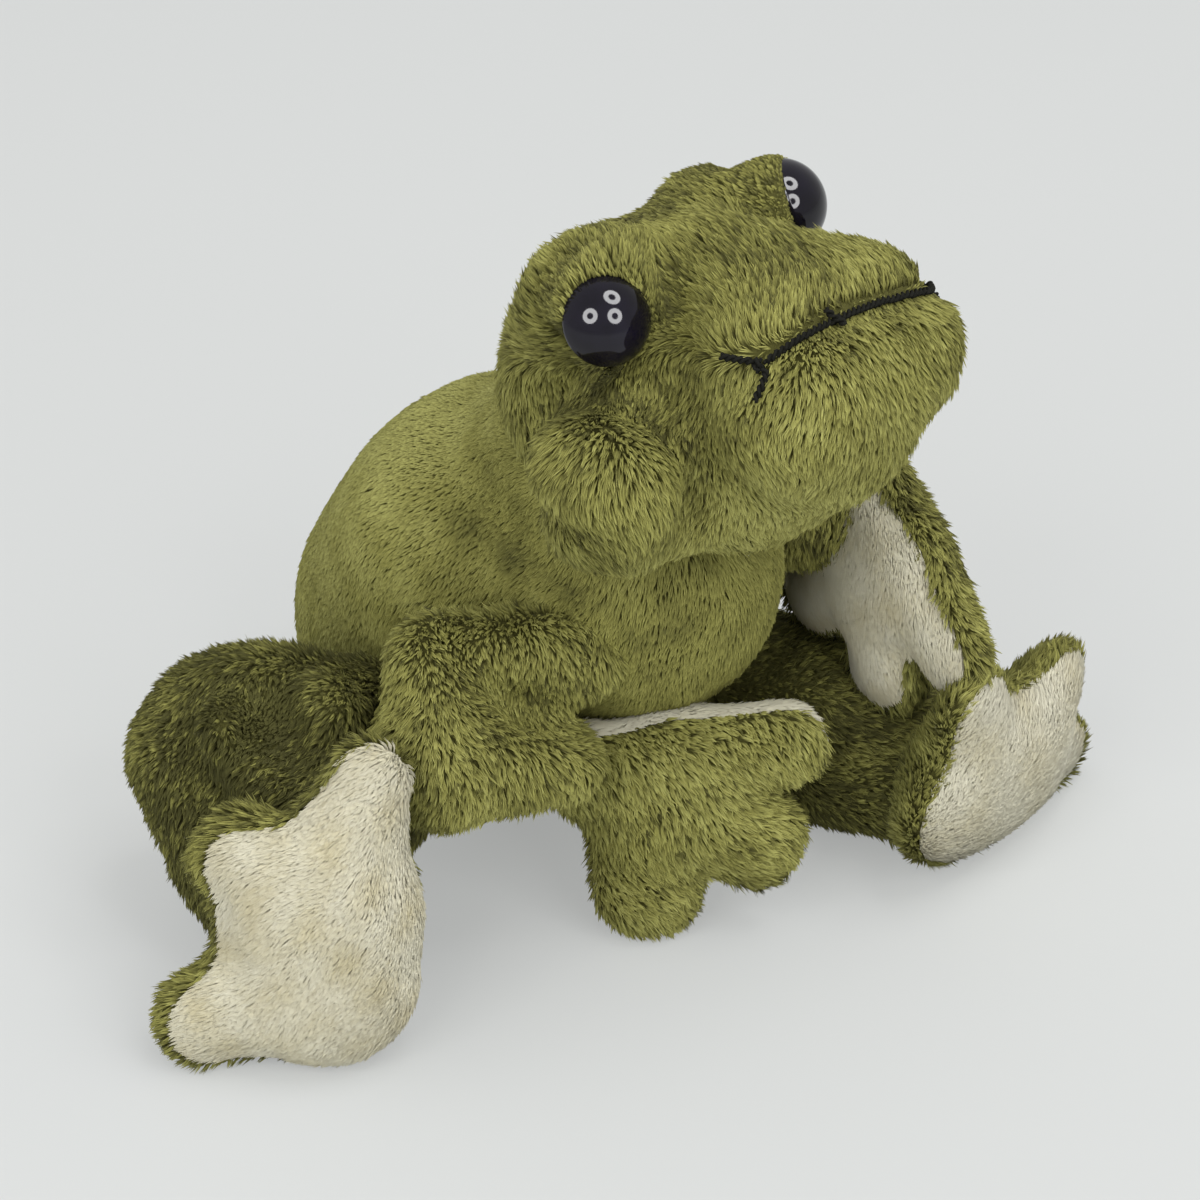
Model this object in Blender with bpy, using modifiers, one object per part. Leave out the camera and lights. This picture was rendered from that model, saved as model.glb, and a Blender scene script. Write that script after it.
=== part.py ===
"""A seated plush frog: stuffed body, head and limbs, sewn together at seams that bend.

Metres, +Z up. The frog faces -Y, its right side is at -X, and its seat rests on z = 0.
Every stuffed form is a ball of rays pushed out to a smooth union of lobes, then stretched
to its named size. Its cover is that form with a pocket, and its filling lies in the pocket.
"""

import math

import bmesh
import bpy
import numpy as np
from mathutils import Euler, Matrix, Vector

# Plush and seams
COVER_WALL = 0.0032
SEAM_GAP = 0.0003
MOVING_GAP = 0.0004
FLOOR_CUT = 0.0005

# Body
BODY_WIDTH = 0.066
BODY_DEPTH = 0.096
BODY_HEIGHT = 0.096
BEAN_BAG_WIDTH = 0.034
BEAN_BAG_HEIGHT = 0.014

# Head
HEAD_WIDTH = 0.078
HEAD_LENGTH = 0.075
HEAD_HEIGHT = 0.058

# Eyes
EYE_DIAMETER = 0.0132
EYE_HEIGHT = 0.0075
EYE_RIM = 0.0010
EYE_SINK = 0.0030
EYE_SHANK_DIAMETER = 0.0040
EYE_SHANK_LENGTH = 0.0080
EYE_BARB = 0.0004
EYE_BARBS = 2
EYE_WEB = 0.0022
WASHER_DIAMETER = 0.0110
WASHER_THICKNESS = 0.0012

# Mouth
THREAD_DIAMETER = 0.0014
THREAD_LIFT = 0.0003

# Arms
ARM_LENGTH = 0.042
ARM_HEIGHT = 0.038
ARM_THICKNESS = 0.023

# Hands
HAND_LENGTH = 0.047
HAND_SPREAD = 0.044
HAND_THICKNESS = 0.0155

# Legs
LEG_LENGTH = 0.054
LEG_HEIGHT = 0.053
LEG_THICKNESS = 0.034

# Feet
FOOT_LENGTH = 0.055
FOOT_SPREAD = 0.044
FOOT_THICKNESS = 0.0165

# How far each seam bends, in degrees, and how the neck leans
NECK_TILT = 30.0
NECK_RANGE = (-20.0, 20.0)
SHOULDER_RANGE = (0.0, 20.0)
WRIST_RANGE = (-12.0, 12.0)
HIP_RANGE = (0.0, 15.0)
ANKLE_RANGE = (0.0, 20.0)
RELIEF_STEP = 2.5
HIP_OUTWARD_SHARES = {"right": -1.0, "left": 1.0}

# Colours
OLIVE = (0.18, 0.19, 0.055)
CREAM = (0.62, 0.58, 0.43)
BLACK = (0.012, 0.011, 0.016)
THREAD_BLACK = (0.012, 0.012, 0.011)
FIBRE_WHITE = (0.80, 0.80, 0.78)
BEAN_CLOTH = (0.70, 0.68, 0.62)
WASHER_WHITE = (0.75, 0.75, 0.73)

# Rays of a form, around it and from pole to pole, and those of its pocket
BODY_RAYS = ((28, 18), (16, 10))
HEAD_RAYS = ((36, 24), (20, 12))
ARM_RAYS = ((20, 13), (14, 9))
HAND_RAYS = ((34, 9), (20, 6))
LEG_RAYS = ((20, 14), (14, 9))
FOOT_RAYS = ((36, 9), (20, 6))

# How the rays look for the surface
REACH_STEPS = 90
REACH_SHARE = 1.35
HALVINGS = 22

# The pocket of a cover, as a share of what the wall leaves
POCKET_SHARE = 0.94

SHARP_ANGLE = 50.0
TURN_STEPS = 20
DOME_STEPS = 6
THREAD_STEPS = 4
THREAD_FACETS = 2
MERGE_GAP = 0.00005


def clear_scene():
    for obj in list(bpy.data.objects):
        bpy.data.objects.remove(obj, do_unlink=True)


def collection(name):
    made = bpy.data.collections.new(name)
    bpy.context.scene.collection.children.link(made)
    return made


def material(name, colour, roughness, metallic=0.0):
    made = bpy.data.materials.new(name)
    made.use_nodes = True
    shader = made.node_tree.nodes["Principled BSDF"]
    shader.inputs["Base Color"].default_value = (*colour, 1.0)
    shader.inputs["Roughness"].default_value = roughness
    shader.inputs["Metallic"].default_value = metallic
    return made


clear_scene()
PARTS = collection("plush_frog")
CUTTERS = collection("cutters")
MATERIALS = {
    "olive_plush": material("olive_plush", OLIVE, 0.9),
    "cream_plush": material("cream_plush", CREAM, 0.9),
    "eye_black": material("eye_black", BLACK, 0.06),
    "mouth_thread": material("mouth_thread", THREAD_BLACK, 0.8),
    "fibre_fill": material("fibre_fill", FIBRE_WHITE, 1.0),
    "bean_cloth": material("bean_cloth", BEAN_CLOTH, 0.9),
    "washer_plastic": material("washer_plastic", WASHER_WHITE, 0.4),
}


def lobe_distance(points, lobe):
    """Distance to a lobe: a rounded cone from one end ball to the other."""
    (start, start_radius), (end, end_radius) = lobe
    start = np.array(start)
    along = np.array(end) - start
    length = max(along @ along, 1e-9)
    share = np.clip((points - start) @ along / length, 0.0, 1.0)
    middle = start + share[..., None] * along
    radius = start_radius + share * (end_radius - start_radius)
    return np.linalg.norm(points - middle, axis=-1) - radius


def union_distance(points, lobes, blend):
    total = sum(np.exp(-lobe_distance(points, lobe) / blend) for lobe in lobes)
    return -blend * np.log(total)


def reach(directions, form):
    """Where each ray from the form's middle leaves the union of its lobes for the last time."""
    middle = np.array(form["middle"])
    furthest = REACH_SHARE * max(
        np.linalg.norm(np.array(end) - middle) + radius
        for lobe in form["lobes"] for end, radius in lobe
    )
    steps = np.linspace(0.0, furthest, REACH_STEPS)
    points = middle + directions[:, None, :] * steps[None, :, None]
    inside = union_distance(points, form["lobes"], form["blend"]) < 0.0
    last = REACH_STEPS - 1 - np.argmax(inside[:, ::-1], axis=1)
    near = steps[last]
    far = steps[np.minimum(last + 1, REACH_STEPS - 1)]
    for _ in range(HALVINGS):
        half = (near + far) / 2
        points = middle + directions * half[:, None]
        within = union_distance(points, form["lobes"], form["blend"]) < 0.0
        near = np.where(within, half, near)
        far = np.where(within, far, half)
    return middle + directions * near[:, None]


def ball(rays):
    made = bmesh.new()
    bmesh.ops.create_uvsphere(made, u_segments=rays[0], v_segments=rays[1], radius=1.0)
    return made


def ball_directions(made):
    return np.array([vert.co.normalized() for vert in made.verts])


def make_form(size, lobes, blend, rays, middle=(0.0, 0.0, 0.0), turn=(0.0, 0.0, 0.0), spin=0.0):
    """A form: lobes in a unit shape, the size they are stretched to, and how it is turned."""
    form = {"size": size, "lobes": lobes, "blend": blend, "rays": rays, "middle": middle}
    guide = ball(rays[0])
    outline = reach(ball_directions(guide), form)
    guide.free()
    form["low"] = outline.min(axis=0)
    form["high"] = outline.max(axis=0)
    facing = Euler([math.radians(angle) for angle in turn]).to_matrix()
    form["turn"] = (facing @ Matrix.Rotation(math.radians(spin), 3, "Z")).to_4x4()
    form["place"] = form["turn"]
    form["outline"] = stretch(outline, form)
    return form


def stretch(points, form):
    share = (points - form["low"]) / (form["high"] - form["low"]) - 0.5
    return share * np.array(form["size"])


def put_form(form, centre):
    form["place"] = Matrix.Translation(centre) @ form["turn"]


def stand_form(form, centre):
    """Put a form over a point of the floor, as low as lets FLOOR_CUT be cut off it."""
    turn = np.array(form["turn"].to_3x3())
    lowest = (form["outline"] @ turn.T)[:, 2].min()
    put_form(form, (centre[0], centre[1], -lowest - FLOOR_CUT))


def spot(form, shares):
    """A point of a form, in shares of half its size from its centre."""
    local = Vector(share * length / 2 for share, length in zip(shares, form["size"]))
    return form["place"] @ local


def lobe_spot(form, place):
    """A point of a form, given in its unit shape."""
    return form["place"] @ Vector(stretch(np.array(place), form))


def heading(form, direction):
    return (form["place"].to_3x3() @ Vector(direction)).normalized()


def form_mesh(form, inset=0.0, pocket=False):
    """The form's closed mesh in the world, drawn in by an inset, or grown by a negative one."""
    made = ball(form["rays"][1 if pocket else 0])
    points = stretch(reach(ball_directions(made), form), form)
    middle = stretch(np.array(form["middle"]), form)
    shrink = (POCKET_SHARE if pocket else 1.0) * (1.0 - 2.0 * inset / np.array(form["size"]))
    points = middle + (points - middle) * shrink
    for vert, point in zip(made.verts, points):
        vert.co = form["place"] @ Vector(point)
    bmesh.ops.triangulate(made, faces=made.faces)
    return made


def trim(made, planes):
    """Cut away what lies beyond each plane and close the cut with a flat face."""
    for point, normal in planes:
        bmesh.ops.bisect_plane(
            made, geom=made.verts[:] + made.edges[:] + made.faces[:],
            plane_co=point, plane_no=normal, clear_outer=True,
        )
        rim = [edge for edge in made.edges if edge.is_boundary]
        if rim:
            bmesh.ops.holes_fill(made, edges=rim, sides=0)
            bmesh.ops.triangulate(made, faces=[face for face in made.faces if len(face.verts) > 3])
    bmesh.ops.recalc_face_normals(made, faces=made.faces)
    return made


def as_object(name, made, group):
    mesh = bpy.data.meshes.new(name)
    made.to_mesh(mesh)
    made.free()
    obj = bpy.data.objects.new(name, mesh)
    group.objects.link(obj)
    return obj


def add_part(name, made, slot):
    obj = as_object(name, made, PARTS)
    obj.data.materials.append(MATERIALS[slot])
    obj.data.shade_smooth()
    obj.data.set_sharp_from_angle(angle=math.radians(SHARP_ANGLE))
    return obj


def add_cutter(name, made):
    obj = as_object(name, made, CUTTERS)
    obj.hide_render = True
    obj.display_type = "WIRE"
    return obj


def cut(obj, cutters):
    for cutter in cutters:
        modifier = obj.modifiers.new(cutter.name, "BOOLEAN")
        modifier.operation = "DIFFERENCE"
        modifier.solver = "EXACT"
        modifier.object = cutter


def swung(joint, angle):
    """The world turned about a joint's axis."""
    point = Matrix.Translation(joint["point"])
    return point @ Matrix.Rotation(math.radians(angle), 4, joint["axis"]) @ point.inverted()


def relief_cutters(name, other, joint, other_moves=False):
    """What a piece leaves free: another form, at angles from one limit of a joint to the other.

    The joint moves the piece, which then sees the other form swing the other way,
    unless the joint moves the other form.
    """
    sense = 1.0 if other_moves else -1.0
    low, high = joint["range"]
    cutters = []
    for angle in np.linspace(low, high, 1 + math.ceil((high - low) / RELIEF_STEP)):
        made = form_mesh(other, -MOVING_GAP)
        bmesh.ops.transform(made, matrix=swung(joint, sense * angle), verts=made.verts)
        cutters.append(add_cutter(f"{name}_{angle:.0f}", made))
    return cutters


FLOOR = (Vector((0.0, 0.0, 0.0)), Vector((0.0, 0.0, -1.0)))

# Where each form stands or hangs, in shares of half the size of what carries it
SEAT_SHARE = -0.387
HEAD_SPOT_SHARES = (0.06, -0.80, 1.12)
ARM_SPOT_SHARES = {"right": (-1.05, -0.58, 0.02), "left": (0.98, -0.58, 0.22)}
HAND_SPOT_SHARES = {"right": (1.394, -1.11, -1.593), "left": (0.92, -0.481, 0.214)}
LEG_SPOT_SHARES = {"right": (-1.564, 0.084, 0.0), "left": (1.0, -0.673, 0.0)}
FOOT_SPOT_SHARES = {"right": (0.919, 0.383, 0.932), "left": (1.021, 0.288, -0.302)}

# The body, its lobes in a unit shape: seat, chest and neck
BODY_LOBE_SHARES = (
    (((0.0, 0.55, 3.2), 3.15), ((0.0, -0.6, 4.7), 3.05)),
    (((0.0, -0.6, 4.7), 3.05), ((0.0, -3.4, 5.9), 2.5)),
    (((0.0, -1.5, 5.8), 2.3), ((0.0, -2.7, 7.5), 2.05)),
)
BODY = make_form(
    (BODY_WIDTH, BODY_DEPTH, BODY_HEIGHT), BODY_LOBE_SHARES, 0.35, BODY_RAYS,
    middle=(0.0, -1.0, 4.6),
)
stand_form(BODY, (0.0, SEAT_SHARE * BODY_DEPTH / 2, 0.0))

# The head: skull, muzzle, chin, eye domes and cheeks
HEAD_LOBE_SHARES = (
    (((0.0, 0.9, 0.3), 2.5), ((0.0, -0.8, 0.5), 2.4)),
    (((-1.1, -2.6, 0.45), 1.5), ((1.1, -2.6, 0.45), 1.5)),
    (((0.0, -0.8, -0.5), 1.8), ((0.0, -2.2, -0.3), 1.4)),
    (((-0.9, 0.1, 1.0), 1.6), ((-1.7, 0.05, 2.1), 1.25)),
    (((0.9, 0.1, 1.0), 1.6), ((1.7, 0.05, 2.1), 1.25)),
    (((-1.0, -0.2, -0.3), 1.6), ((-2.6, -0.15, -0.4), 1.35)),
    (((1.0, -0.2, -0.3), 1.6), ((2.6, -0.15, -0.4), 1.35)),
)
HEAD = make_form(
    (HEAD_WIDTH, HEAD_LENGTH, HEAD_HEIGHT), HEAD_LOBE_SHARES, 0.2, HEAD_RAYS,
    middle=(0.0, -0.6, 0.3), turn=(-20.0, 0.0, 6.0),
)
put_form(HEAD, spot(BODY, HEAD_SPOT_SHARES))

# Arms: the right one folded at the elbow, the left one reaching for the knee
ARM_RIGHT_LOBE_SHARES = (
    (((1.55, 0.9, -0.6), 0.85), ((-0.6, 0.9, 0.0), 0.9)),
    (((-0.6, 0.9, 0.0), 0.9), ((-0.6, -0.55, 0.0), 1.1)),
    (((-0.6, -0.55, 0.0), 1.1), ((1.3, -0.75, -0.7), 0.72)),
)
ARM_LEFT_LOBE_SHARES = (
    (((-1.6, -0.5, 0.0), 1.0), ((0.0, 0.3, 0.0), 1.05)),
    (((0.0, 0.3, 0.0), 1.05), ((1.5, 0.3, 0.0), 0.75)),
)
ARMS = {
    "right": make_form(
        (ARM_LENGTH, ARM_HEIGHT, ARM_THICKNESS), ARM_RIGHT_LOBE_SHARES, 0.12, ARM_RAYS,
        turn=(65.0, 0.0, -45.0),
    ),
    "left": make_form(
        (ARM_LENGTH, ARM_HEIGHT * 0.8, ARM_THICKNESS), ARM_LEFT_LOBE_SHARES, 0.2, ARM_RAYS,
        turn=(90.0, 10.0, -70.0),
    ),
}
for side, arm in ARMS.items():
    put_form(arm, spot(BODY, ARM_SPOT_SHARES[side]))

# Hands: a palm and three webbed fingers
HAND_LOBE_SHARES = (
    (((-1.5, 0.55, 0.0), 0.8), ((-0.1, 0.2, 0.0), 1.3)),
    (((-0.1, 0.6, 0.0), 0.95), ((1.75, 1.05, 0.0), 0.7)),
    (((-0.1, 0.0, 0.0), 1.1), ((1.35, -0.7, 0.0), 0.82)),
    (((-0.4, -0.2, 0.0), 1.1), ((-0.55, -1.45, 0.0), 0.92)),
)
HANDS = {
    "right": make_form(
        (HAND_LENGTH, HAND_SPREAD, HAND_THICKNESS), HAND_LOBE_SHARES, 0.12, HAND_RAYS,
        middle=(0.1, 0.1, 0.0), turn=(80.0, 0.0, -45.0),
    ),
    "left": make_form(
        (HAND_LENGTH, HAND_SPREAD, HAND_THICKNESS), HAND_LOBE_SHARES, 0.12, HAND_RAYS,
        middle=(0.1, 0.1, 0.0), turn=(84.0, 0.0, -100.0), spin=-44.0,
    ),
}
stand_form(HANDS["right"], spot(ARMS["right"], HAND_SPOT_SHARES["right"]))
put_form(HANDS["left"], spot(ARMS["left"], HAND_SPOT_SHARES["left"]))

# Legs
LEG_RIGHT_LOBE_SHARES = (
    (((0.0, 0.6, -1.9), 1.2), ((-0.2, 0.4, -0.2), 1.75)),
    (((-0.2, 0.4, -0.2), 1.75), ((-0.6, -0.3, 0.2), 1.6)),
    (((-0.6, -0.3, 0.2), 1.6), ((0.2, -0.95, 0.6), 1.2)),
)
LEG_LEFT_LOBE_SHARES = (
    (((-2.6, 0.3, -0.3), 1.6), ((0.4, 0.2, 0.0), 1.6)),
    (((0.4, 0.2, 0.0), 1.6), ((2.2, -0.1, 0.0), 1.35)),
)
LEGS = {
    "right": make_form(
        (LEG_LENGTH, LEG_HEIGHT, LEG_THICKNESS * 1.3), LEG_RIGHT_LOBE_SHARES, 0.12, LEG_RAYS,
        middle=(0.0, 0.0, -0.3), turn=(90.0, 0.0, -93.0), spin=-26.5,
    ),
    "left": make_form(
        (LEG_LENGTH * 1.35, LEG_THICKNESS, LEG_THICKNESS), LEG_LEFT_LOBE_SHARES, 0.2, LEG_RAYS,
        turn=(90.0, 0.0, -75.0),
    ),
}
for side, leg in LEGS.items():
    stand_form(leg, spot(BODY, LEG_SPOT_SHARES[side]))

# Feet: a heel and three webbed toes
FOOT_LOBE_SHARES = (
    (((0.1, 0.1, 0.0), 1.65), ((0.15, -0.65, 0.0), 1.5)),
    (((0.1, 0.3, 0.0), 1.4), ((1.0, 2.2, 0.0), 0.65)),
    (((0.0, 0.2, 0.0), 1.3), ((-1.05, 1.1, 0.0), 0.8)),
    (((0.0, -0.6, 0.0), 1.4), ((-1.7, -1.45, 0.0), 0.75)),
)
FEET = {
    "right": make_form(
        (FOOT_SPREAD, FOOT_LENGTH, FOOT_THICKNESS), FOOT_LOBE_SHARES, 0.12, FOOT_RAYS,
        middle=(0.0, -0.2, 0.0), turn=(75.0, 0.0, -45.0),
    ),
    "left": make_form(
        (FOOT_SPREAD, FOOT_LENGTH, FOOT_THICKNESS), FOOT_LOBE_SHARES, 0.12, FOOT_RAYS,
        middle=(0.0, -0.2, 0.0), turn=(100.0, 0.0, 4.0), spin=-96.0,
    ),
}
for side, foot in FEET.items():
    stand_form(foot, spot(LEGS[side], FOOT_SPOT_SHARES[side]))

# Where the seams lie: on the body in its shares, on a limb in its unit shape
NECK_SPOT_SHARES = (0.0, -0.46, 0.72)
ARM_ROOT_SHARES = {"right": (1.55, 0.9, -0.6), "left": (-1.6, -0.5, 0.0)}
LEG_ROOT_SHARES = {"right": (0.0, 0.6, -1.9), "left": (-2.6, 0.3, -0.3)}
WRIST_SHARES = (-1.75, 0.6, 0.0)
WRIST_LINE_SHARES = (0.24, 0.97, 0.0)
ANKLE_SPOT_SHARES = (0.1, -0.7, -0.8)

# Which side of a hand's form is the palm, and where the seams of palm and sole run
PALM_SIDE_SHARES = {"right": -1.0, "left": 1.0}
PALM_SEAM_SHARE = 0.1
SOLE_SEAM_SHARE = 0.2

# The face, in the head's unit shape
EYE_SPOT_SHARES = (2.33, -0.90, 2.16)
EYE_FACING_SHARES = (0.5, -0.85, 0.15)
MOUTH_SHARES = (
    (-2.03, -3.3, 1.33), (-0.86, -3.67, 1.48), (0.23, -3.77, 1.37), (1.5, -3.83, 1.11), (2.05, -3.5, 1.0),
)
MOUTH_CORNER_SHARES = {"right": (-2.12, -3.25, 1.26), "left": (2.15, -3.4, 0.95)}
CORNER_STITCH_SHARES = ((0.2, 0.55, 0.28), (0.0, 0.0, 0.0), (0.26, 0.07, -0.4))

# Seams that bend. Each joint has its point, its axis and how far it turns both ways.
NECK = {
    "point": spot(BODY, NECK_SPOT_SHARES),
    "axis": Matrix.Rotation(math.radians(NECK_TILT), 3, "X") @ Vector((0.0, 0.0, 1.0)),
    "range": NECK_RANGE,
}
NECK["facing"] = NECK["axis"]
SHOULDERS, WRISTS, HIPS, ANKLES = {}, {}, {}, {}
for side in ("right", "left"):
    SHOULDERS[side] = {
        "point": lobe_spot(ARMS[side], ARM_ROOT_SHARES[side]),
        "axis": Vector((-1.0, 0.0, 0.0)),
        "range": SHOULDER_RANGE,
    }
    HIPS[side] = {
        "point": lobe_spot(LEGS[side], LEG_ROOT_SHARES[side]),
        "axis": Vector((0.0, 0.0, HIP_OUTWARD_SHARES[side])),
        "range": HIP_RANGE,
    }
    WRISTS[side] = {
        "point": lobe_spot(HANDS[side], WRIST_SHARES),
        "axis": heading(HANDS[side], WRIST_LINE_SHARES),
        "facing": heading(HANDS[side], WRIST_LINE_SHARES).cross(heading(HANDS[side], (0.0, 0.0, 1.0))),
        "range": WRIST_RANGE,
    }
    ANKLES[side] = {
        "point": spot(FEET[side], ANKLE_SPOT_SHARES),
        "axis": heading(FEET[side], (1.0, 0.0, 0.0)),
        "facing": heading(FEET[side], (0.0, 0.0, 1.0)),
        "range": ANKLE_RANGE,
    }


def behind(joint):
    """Planes that leave a carrier clear of what turns at a joint, at both limits."""
    return [
        (joint["point"], Matrix.Rotation(math.radians(angle), 3, joint["axis"]) @ joint["facing"])
        for angle in joint["range"]
    ]


def ahead(joint):
    """The plane that a turning piece keeps in front of."""
    return [(joint["point"] + joint["facing"] * SEAM_GAP, -joint["facing"])]


def joint_empty(name, joint, parent=None):
    """An empty on a joint's axis, which carries the pieces that turn there."""
    empty = bpy.data.objects.new(name, None)
    PARTS.objects.link(empty)
    empty["point"] = joint["point"]
    empty.location = joint["point"]
    if parent:
        empty.parent = parent
        empty.location = joint["point"] - Vector(parent["point"])
    return empty


def carry(obj, empty):
    """Hang a piece on an empty, its own origin on the empty's point."""
    point = Vector(empty["point"])
    obj.data.transform(Matrix.Translation(-point))
    obj.parent = empty
    return obj


def cover(name, form, planes, cutters, slot, empty=None):
    """A sewn shell: the form, cut by planes and cutters, with the pocket for its filling."""
    obj = add_part(name, trim(form_mesh(form), planes), slot)
    pocket = add_cutter(f"{name}_pocket", form_mesh(form, COVER_WALL, pocket=True))
    cut(obj, [pocket] + cutters)
    return carry(obj, empty) if empty else obj


def stuffing(name, form, planes, cutters, empty=None, slot="fibre_fill"):
    """The filling, a little smaller than the pocket."""
    obj = add_part(name, trim(form_mesh(form, COVER_WALL + SEAM_GAP, pocket=True), planes), slot)
    cut(obj, cutters)
    return carry(obj, empty) if empty else obj


# Body, open at the neck under the head, with its bag of beans low in the seat
NECK_BELOW = [(NECK["point"], NECK["axis"])]
BAG_TOP = Vector((0.0, 0.0, BEAN_BAG_HEIGHT))
UPWARD = Vector((0.0, 0.0, 1.0))
cover("body_cover", BODY, [FLOOR] + NECK_BELOW, [], "olive_plush")
stuffing("body_stuffing", BODY, NECK_BELOW + [(BAG_TOP + UPWARD * SEAM_GAP, -UPWARD)], [])
stuffing("seat_bean_bag", BODY, [(BAG_TOP, UPWARD)], [], slot="bean_cloth")

# Eyes: turned domes on barbed shanks, each held by a washer inside the head
HEAD_EMPTY = joint_empty("neck", NECK)


def turned(name, profile, point, axis):
    """A closed solid turned from a profile of (radius, height) about an axis through a point."""
    outline = bpy.data.meshes.new(name)
    points = [(radius, 0.0, height) for radius, height in profile]
    outline.from_pydata(points, [(n, n + 1) for n in range(len(points) - 1)], [])
    obj = bpy.data.objects.new(name, outline)
    screw = obj.modifiers.new("turn", "SCREW")
    screw.steps = TURN_STEPS
    screw.render_steps = TURN_STEPS
    screw.use_merge_vertices = True
    screw.merge_threshold = MERGE_GAP
    obj.matrix_world = Matrix.Translation(point) @ axis.to_track_quat("Z", "Y").to_matrix().to_4x4()
    return obj


def dome_profile():
    """The eye from its top down: dome, flat back, shank with its barbs."""
    radius = EYE_DIAMETER / 2
    rise = [math.pi / 2 * (1.0 - step / DOME_STEPS) for step in range(DOME_STEPS + 1)]
    points = [(radius * math.cos(turn), EYE_HEIGHT * math.sin(turn)) for turn in rise]
    points[0] = (0.0, EYE_HEIGHT)
    shank = EYE_SHANK_DIAMETER / 2
    points += [(radius, -EYE_RIM), (shank, -EYE_RIM)]
    pitch = (EYE_SHANK_LENGTH - EYE_RIM - EYE_WEB - WASHER_THICKNESS) / (EYE_BARBS + 1)
    for barb in range(EYE_BARBS):
        height = -EYE_RIM - EYE_WEB - WASHER_THICKNESS - 2 * SEAM_GAP - barb * pitch
        points += [(shank, height), (shank + EYE_BARB, height - pitch / 4), (shank, height - pitch / 2)]
    points += [(shank, -EYE_SHANK_LENGTH), (0.0, -EYE_SHANK_LENGTH)]
    return points


def eye_room_profile():
    """What the head leaves free: the eye's seat, its shank's hole and the washer's room."""
    seat = EYE_DIAMETER / 2 + SEAM_GAP
    hole = EYE_SHANK_DIAMETER / 2 + SEAM_GAP
    room = WASHER_DIAMETER / 2 + SEAM_GAP
    back = -EYE_RIM - SEAM_GAP
    web = back - EYE_WEB
    end = -EYE_SHANK_LENGTH - EYE_BARB
    return [
        (0.0, 2 * EYE_HEIGHT), (seat, 2 * EYE_HEIGHT), (seat, back), (hole, back),
        (hole, web), (room, web), (room, end), (0.0, end),
    ]


def washer_profile():
    inner = EYE_SHANK_DIAMETER / 2 + SEAM_GAP
    outer = WASHER_DIAMETER / 2
    top = -EYE_RIM - EYE_WEB - 2 * SEAM_GAP
    low = top - WASHER_THICKNESS
    return [(inner, top), (outer, top), (outer, low), (inner, low), (inner, top)]


def on_head(place):
    """The point of the head's surface on the ray through a place of its unit shape."""
    direction = np.array(place) - np.array(HEAD["middle"])
    direction = direction / np.linalg.norm(direction)
    surface = reach(direction[None, :], HEAD)[0]
    return HEAD["place"] @ Vector(stretch(surface, HEAD))


EYE_ROOMS = []
for side, outward in (("right", -1.0), ("left", 1.0)):
    x, y, z = EYE_SPOT_SHARES
    axis = heading(HEAD, (outward * EYE_FACING_SHARES[0], EYE_FACING_SHARES[1], EYE_FACING_SHARES[2]))
    seat = on_head((outward * x, y, z)) - axis * EYE_SINK
    room = turned(f"eye_room_{side}", eye_room_profile(), seat, axis)
    room.hide_render = True
    room.display_type = "WIRE"
    CUTTERS.objects.link(room)
    EYE_ROOMS.append(room)
    for name, profile, slot in (("eye", dome_profile(), "eye_black"),
                                ("eye_washer", washer_profile(), "washer_plastic")):
        obj = turned(f"{name}_{side}", profile, seat, axis)
        obj.data.materials.append(MATERIALS[slot])
        PARTS.objects.link(obj)
        obj.matrix_world = Matrix.Translation(-NECK["point"]) @ obj.matrix_world
        obj.parent = HEAD_EMPTY

# Head, open at the neck
HEAD_ABOVE = ahead(NECK)
cover("head_cover", HEAD, HEAD_ABOVE, EYE_ROOMS, "olive_plush", HEAD_EMPTY)
stuffing("head_stuffing", HEAD, HEAD_ABOVE, EYE_ROOMS, HEAD_EMPTY)


def thread(name, places):
    """A round thread over the head's surface, through places of the head's unit shape."""
    made = bpy.data.curves.new(name, "CURVE")
    made.dimensions = "3D"
    made.bevel_depth = THREAD_DIAMETER / 2
    made.bevel_resolution = THREAD_FACETS
    made.use_fill_caps = True
    spline = made.splines.new("POLY")
    centre = HEAD["place"] @ Vector(stretch(np.array(HEAD["middle"]), HEAD))
    lifted = []
    for start, end in zip(places, places[1:]):
        for share in np.linspace(0.0, 1.0, THREAD_STEPS, endpoint=False):
            lifted.append(on_head(np.array(start) * (1.0 - share) + np.array(end) * share))
    lifted.append(on_head(places[-1]))
    spline.points.add(len(lifted) - 1)
    for point, place in zip(spline.points, lifted):
        away = (place - centre).normalized() * (THREAD_DIAMETER / 2 + THREAD_LIFT)
        point.co = (*(place + away - NECK["point"]), 1.0)
    obj = bpy.data.objects.new(name, made)
    obj.data.materials.append(MATERIALS["mouth_thread"])
    PARTS.objects.link(obj)
    obj.parent = HEAD_EMPTY
    return obj


thread("mouth_thread", MOUTH_SHARES)
for side, outward in (("right", -1.0), ("left", 1.0)):
    x, y, z = MOUTH_CORNER_SHARES[side]
    places = [(x + outward * aside, y + back, z + up) for aside, back, up in CORNER_STITCH_SHARES]
    thread(f"mouth_corner_thread_{side}", places)

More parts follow.
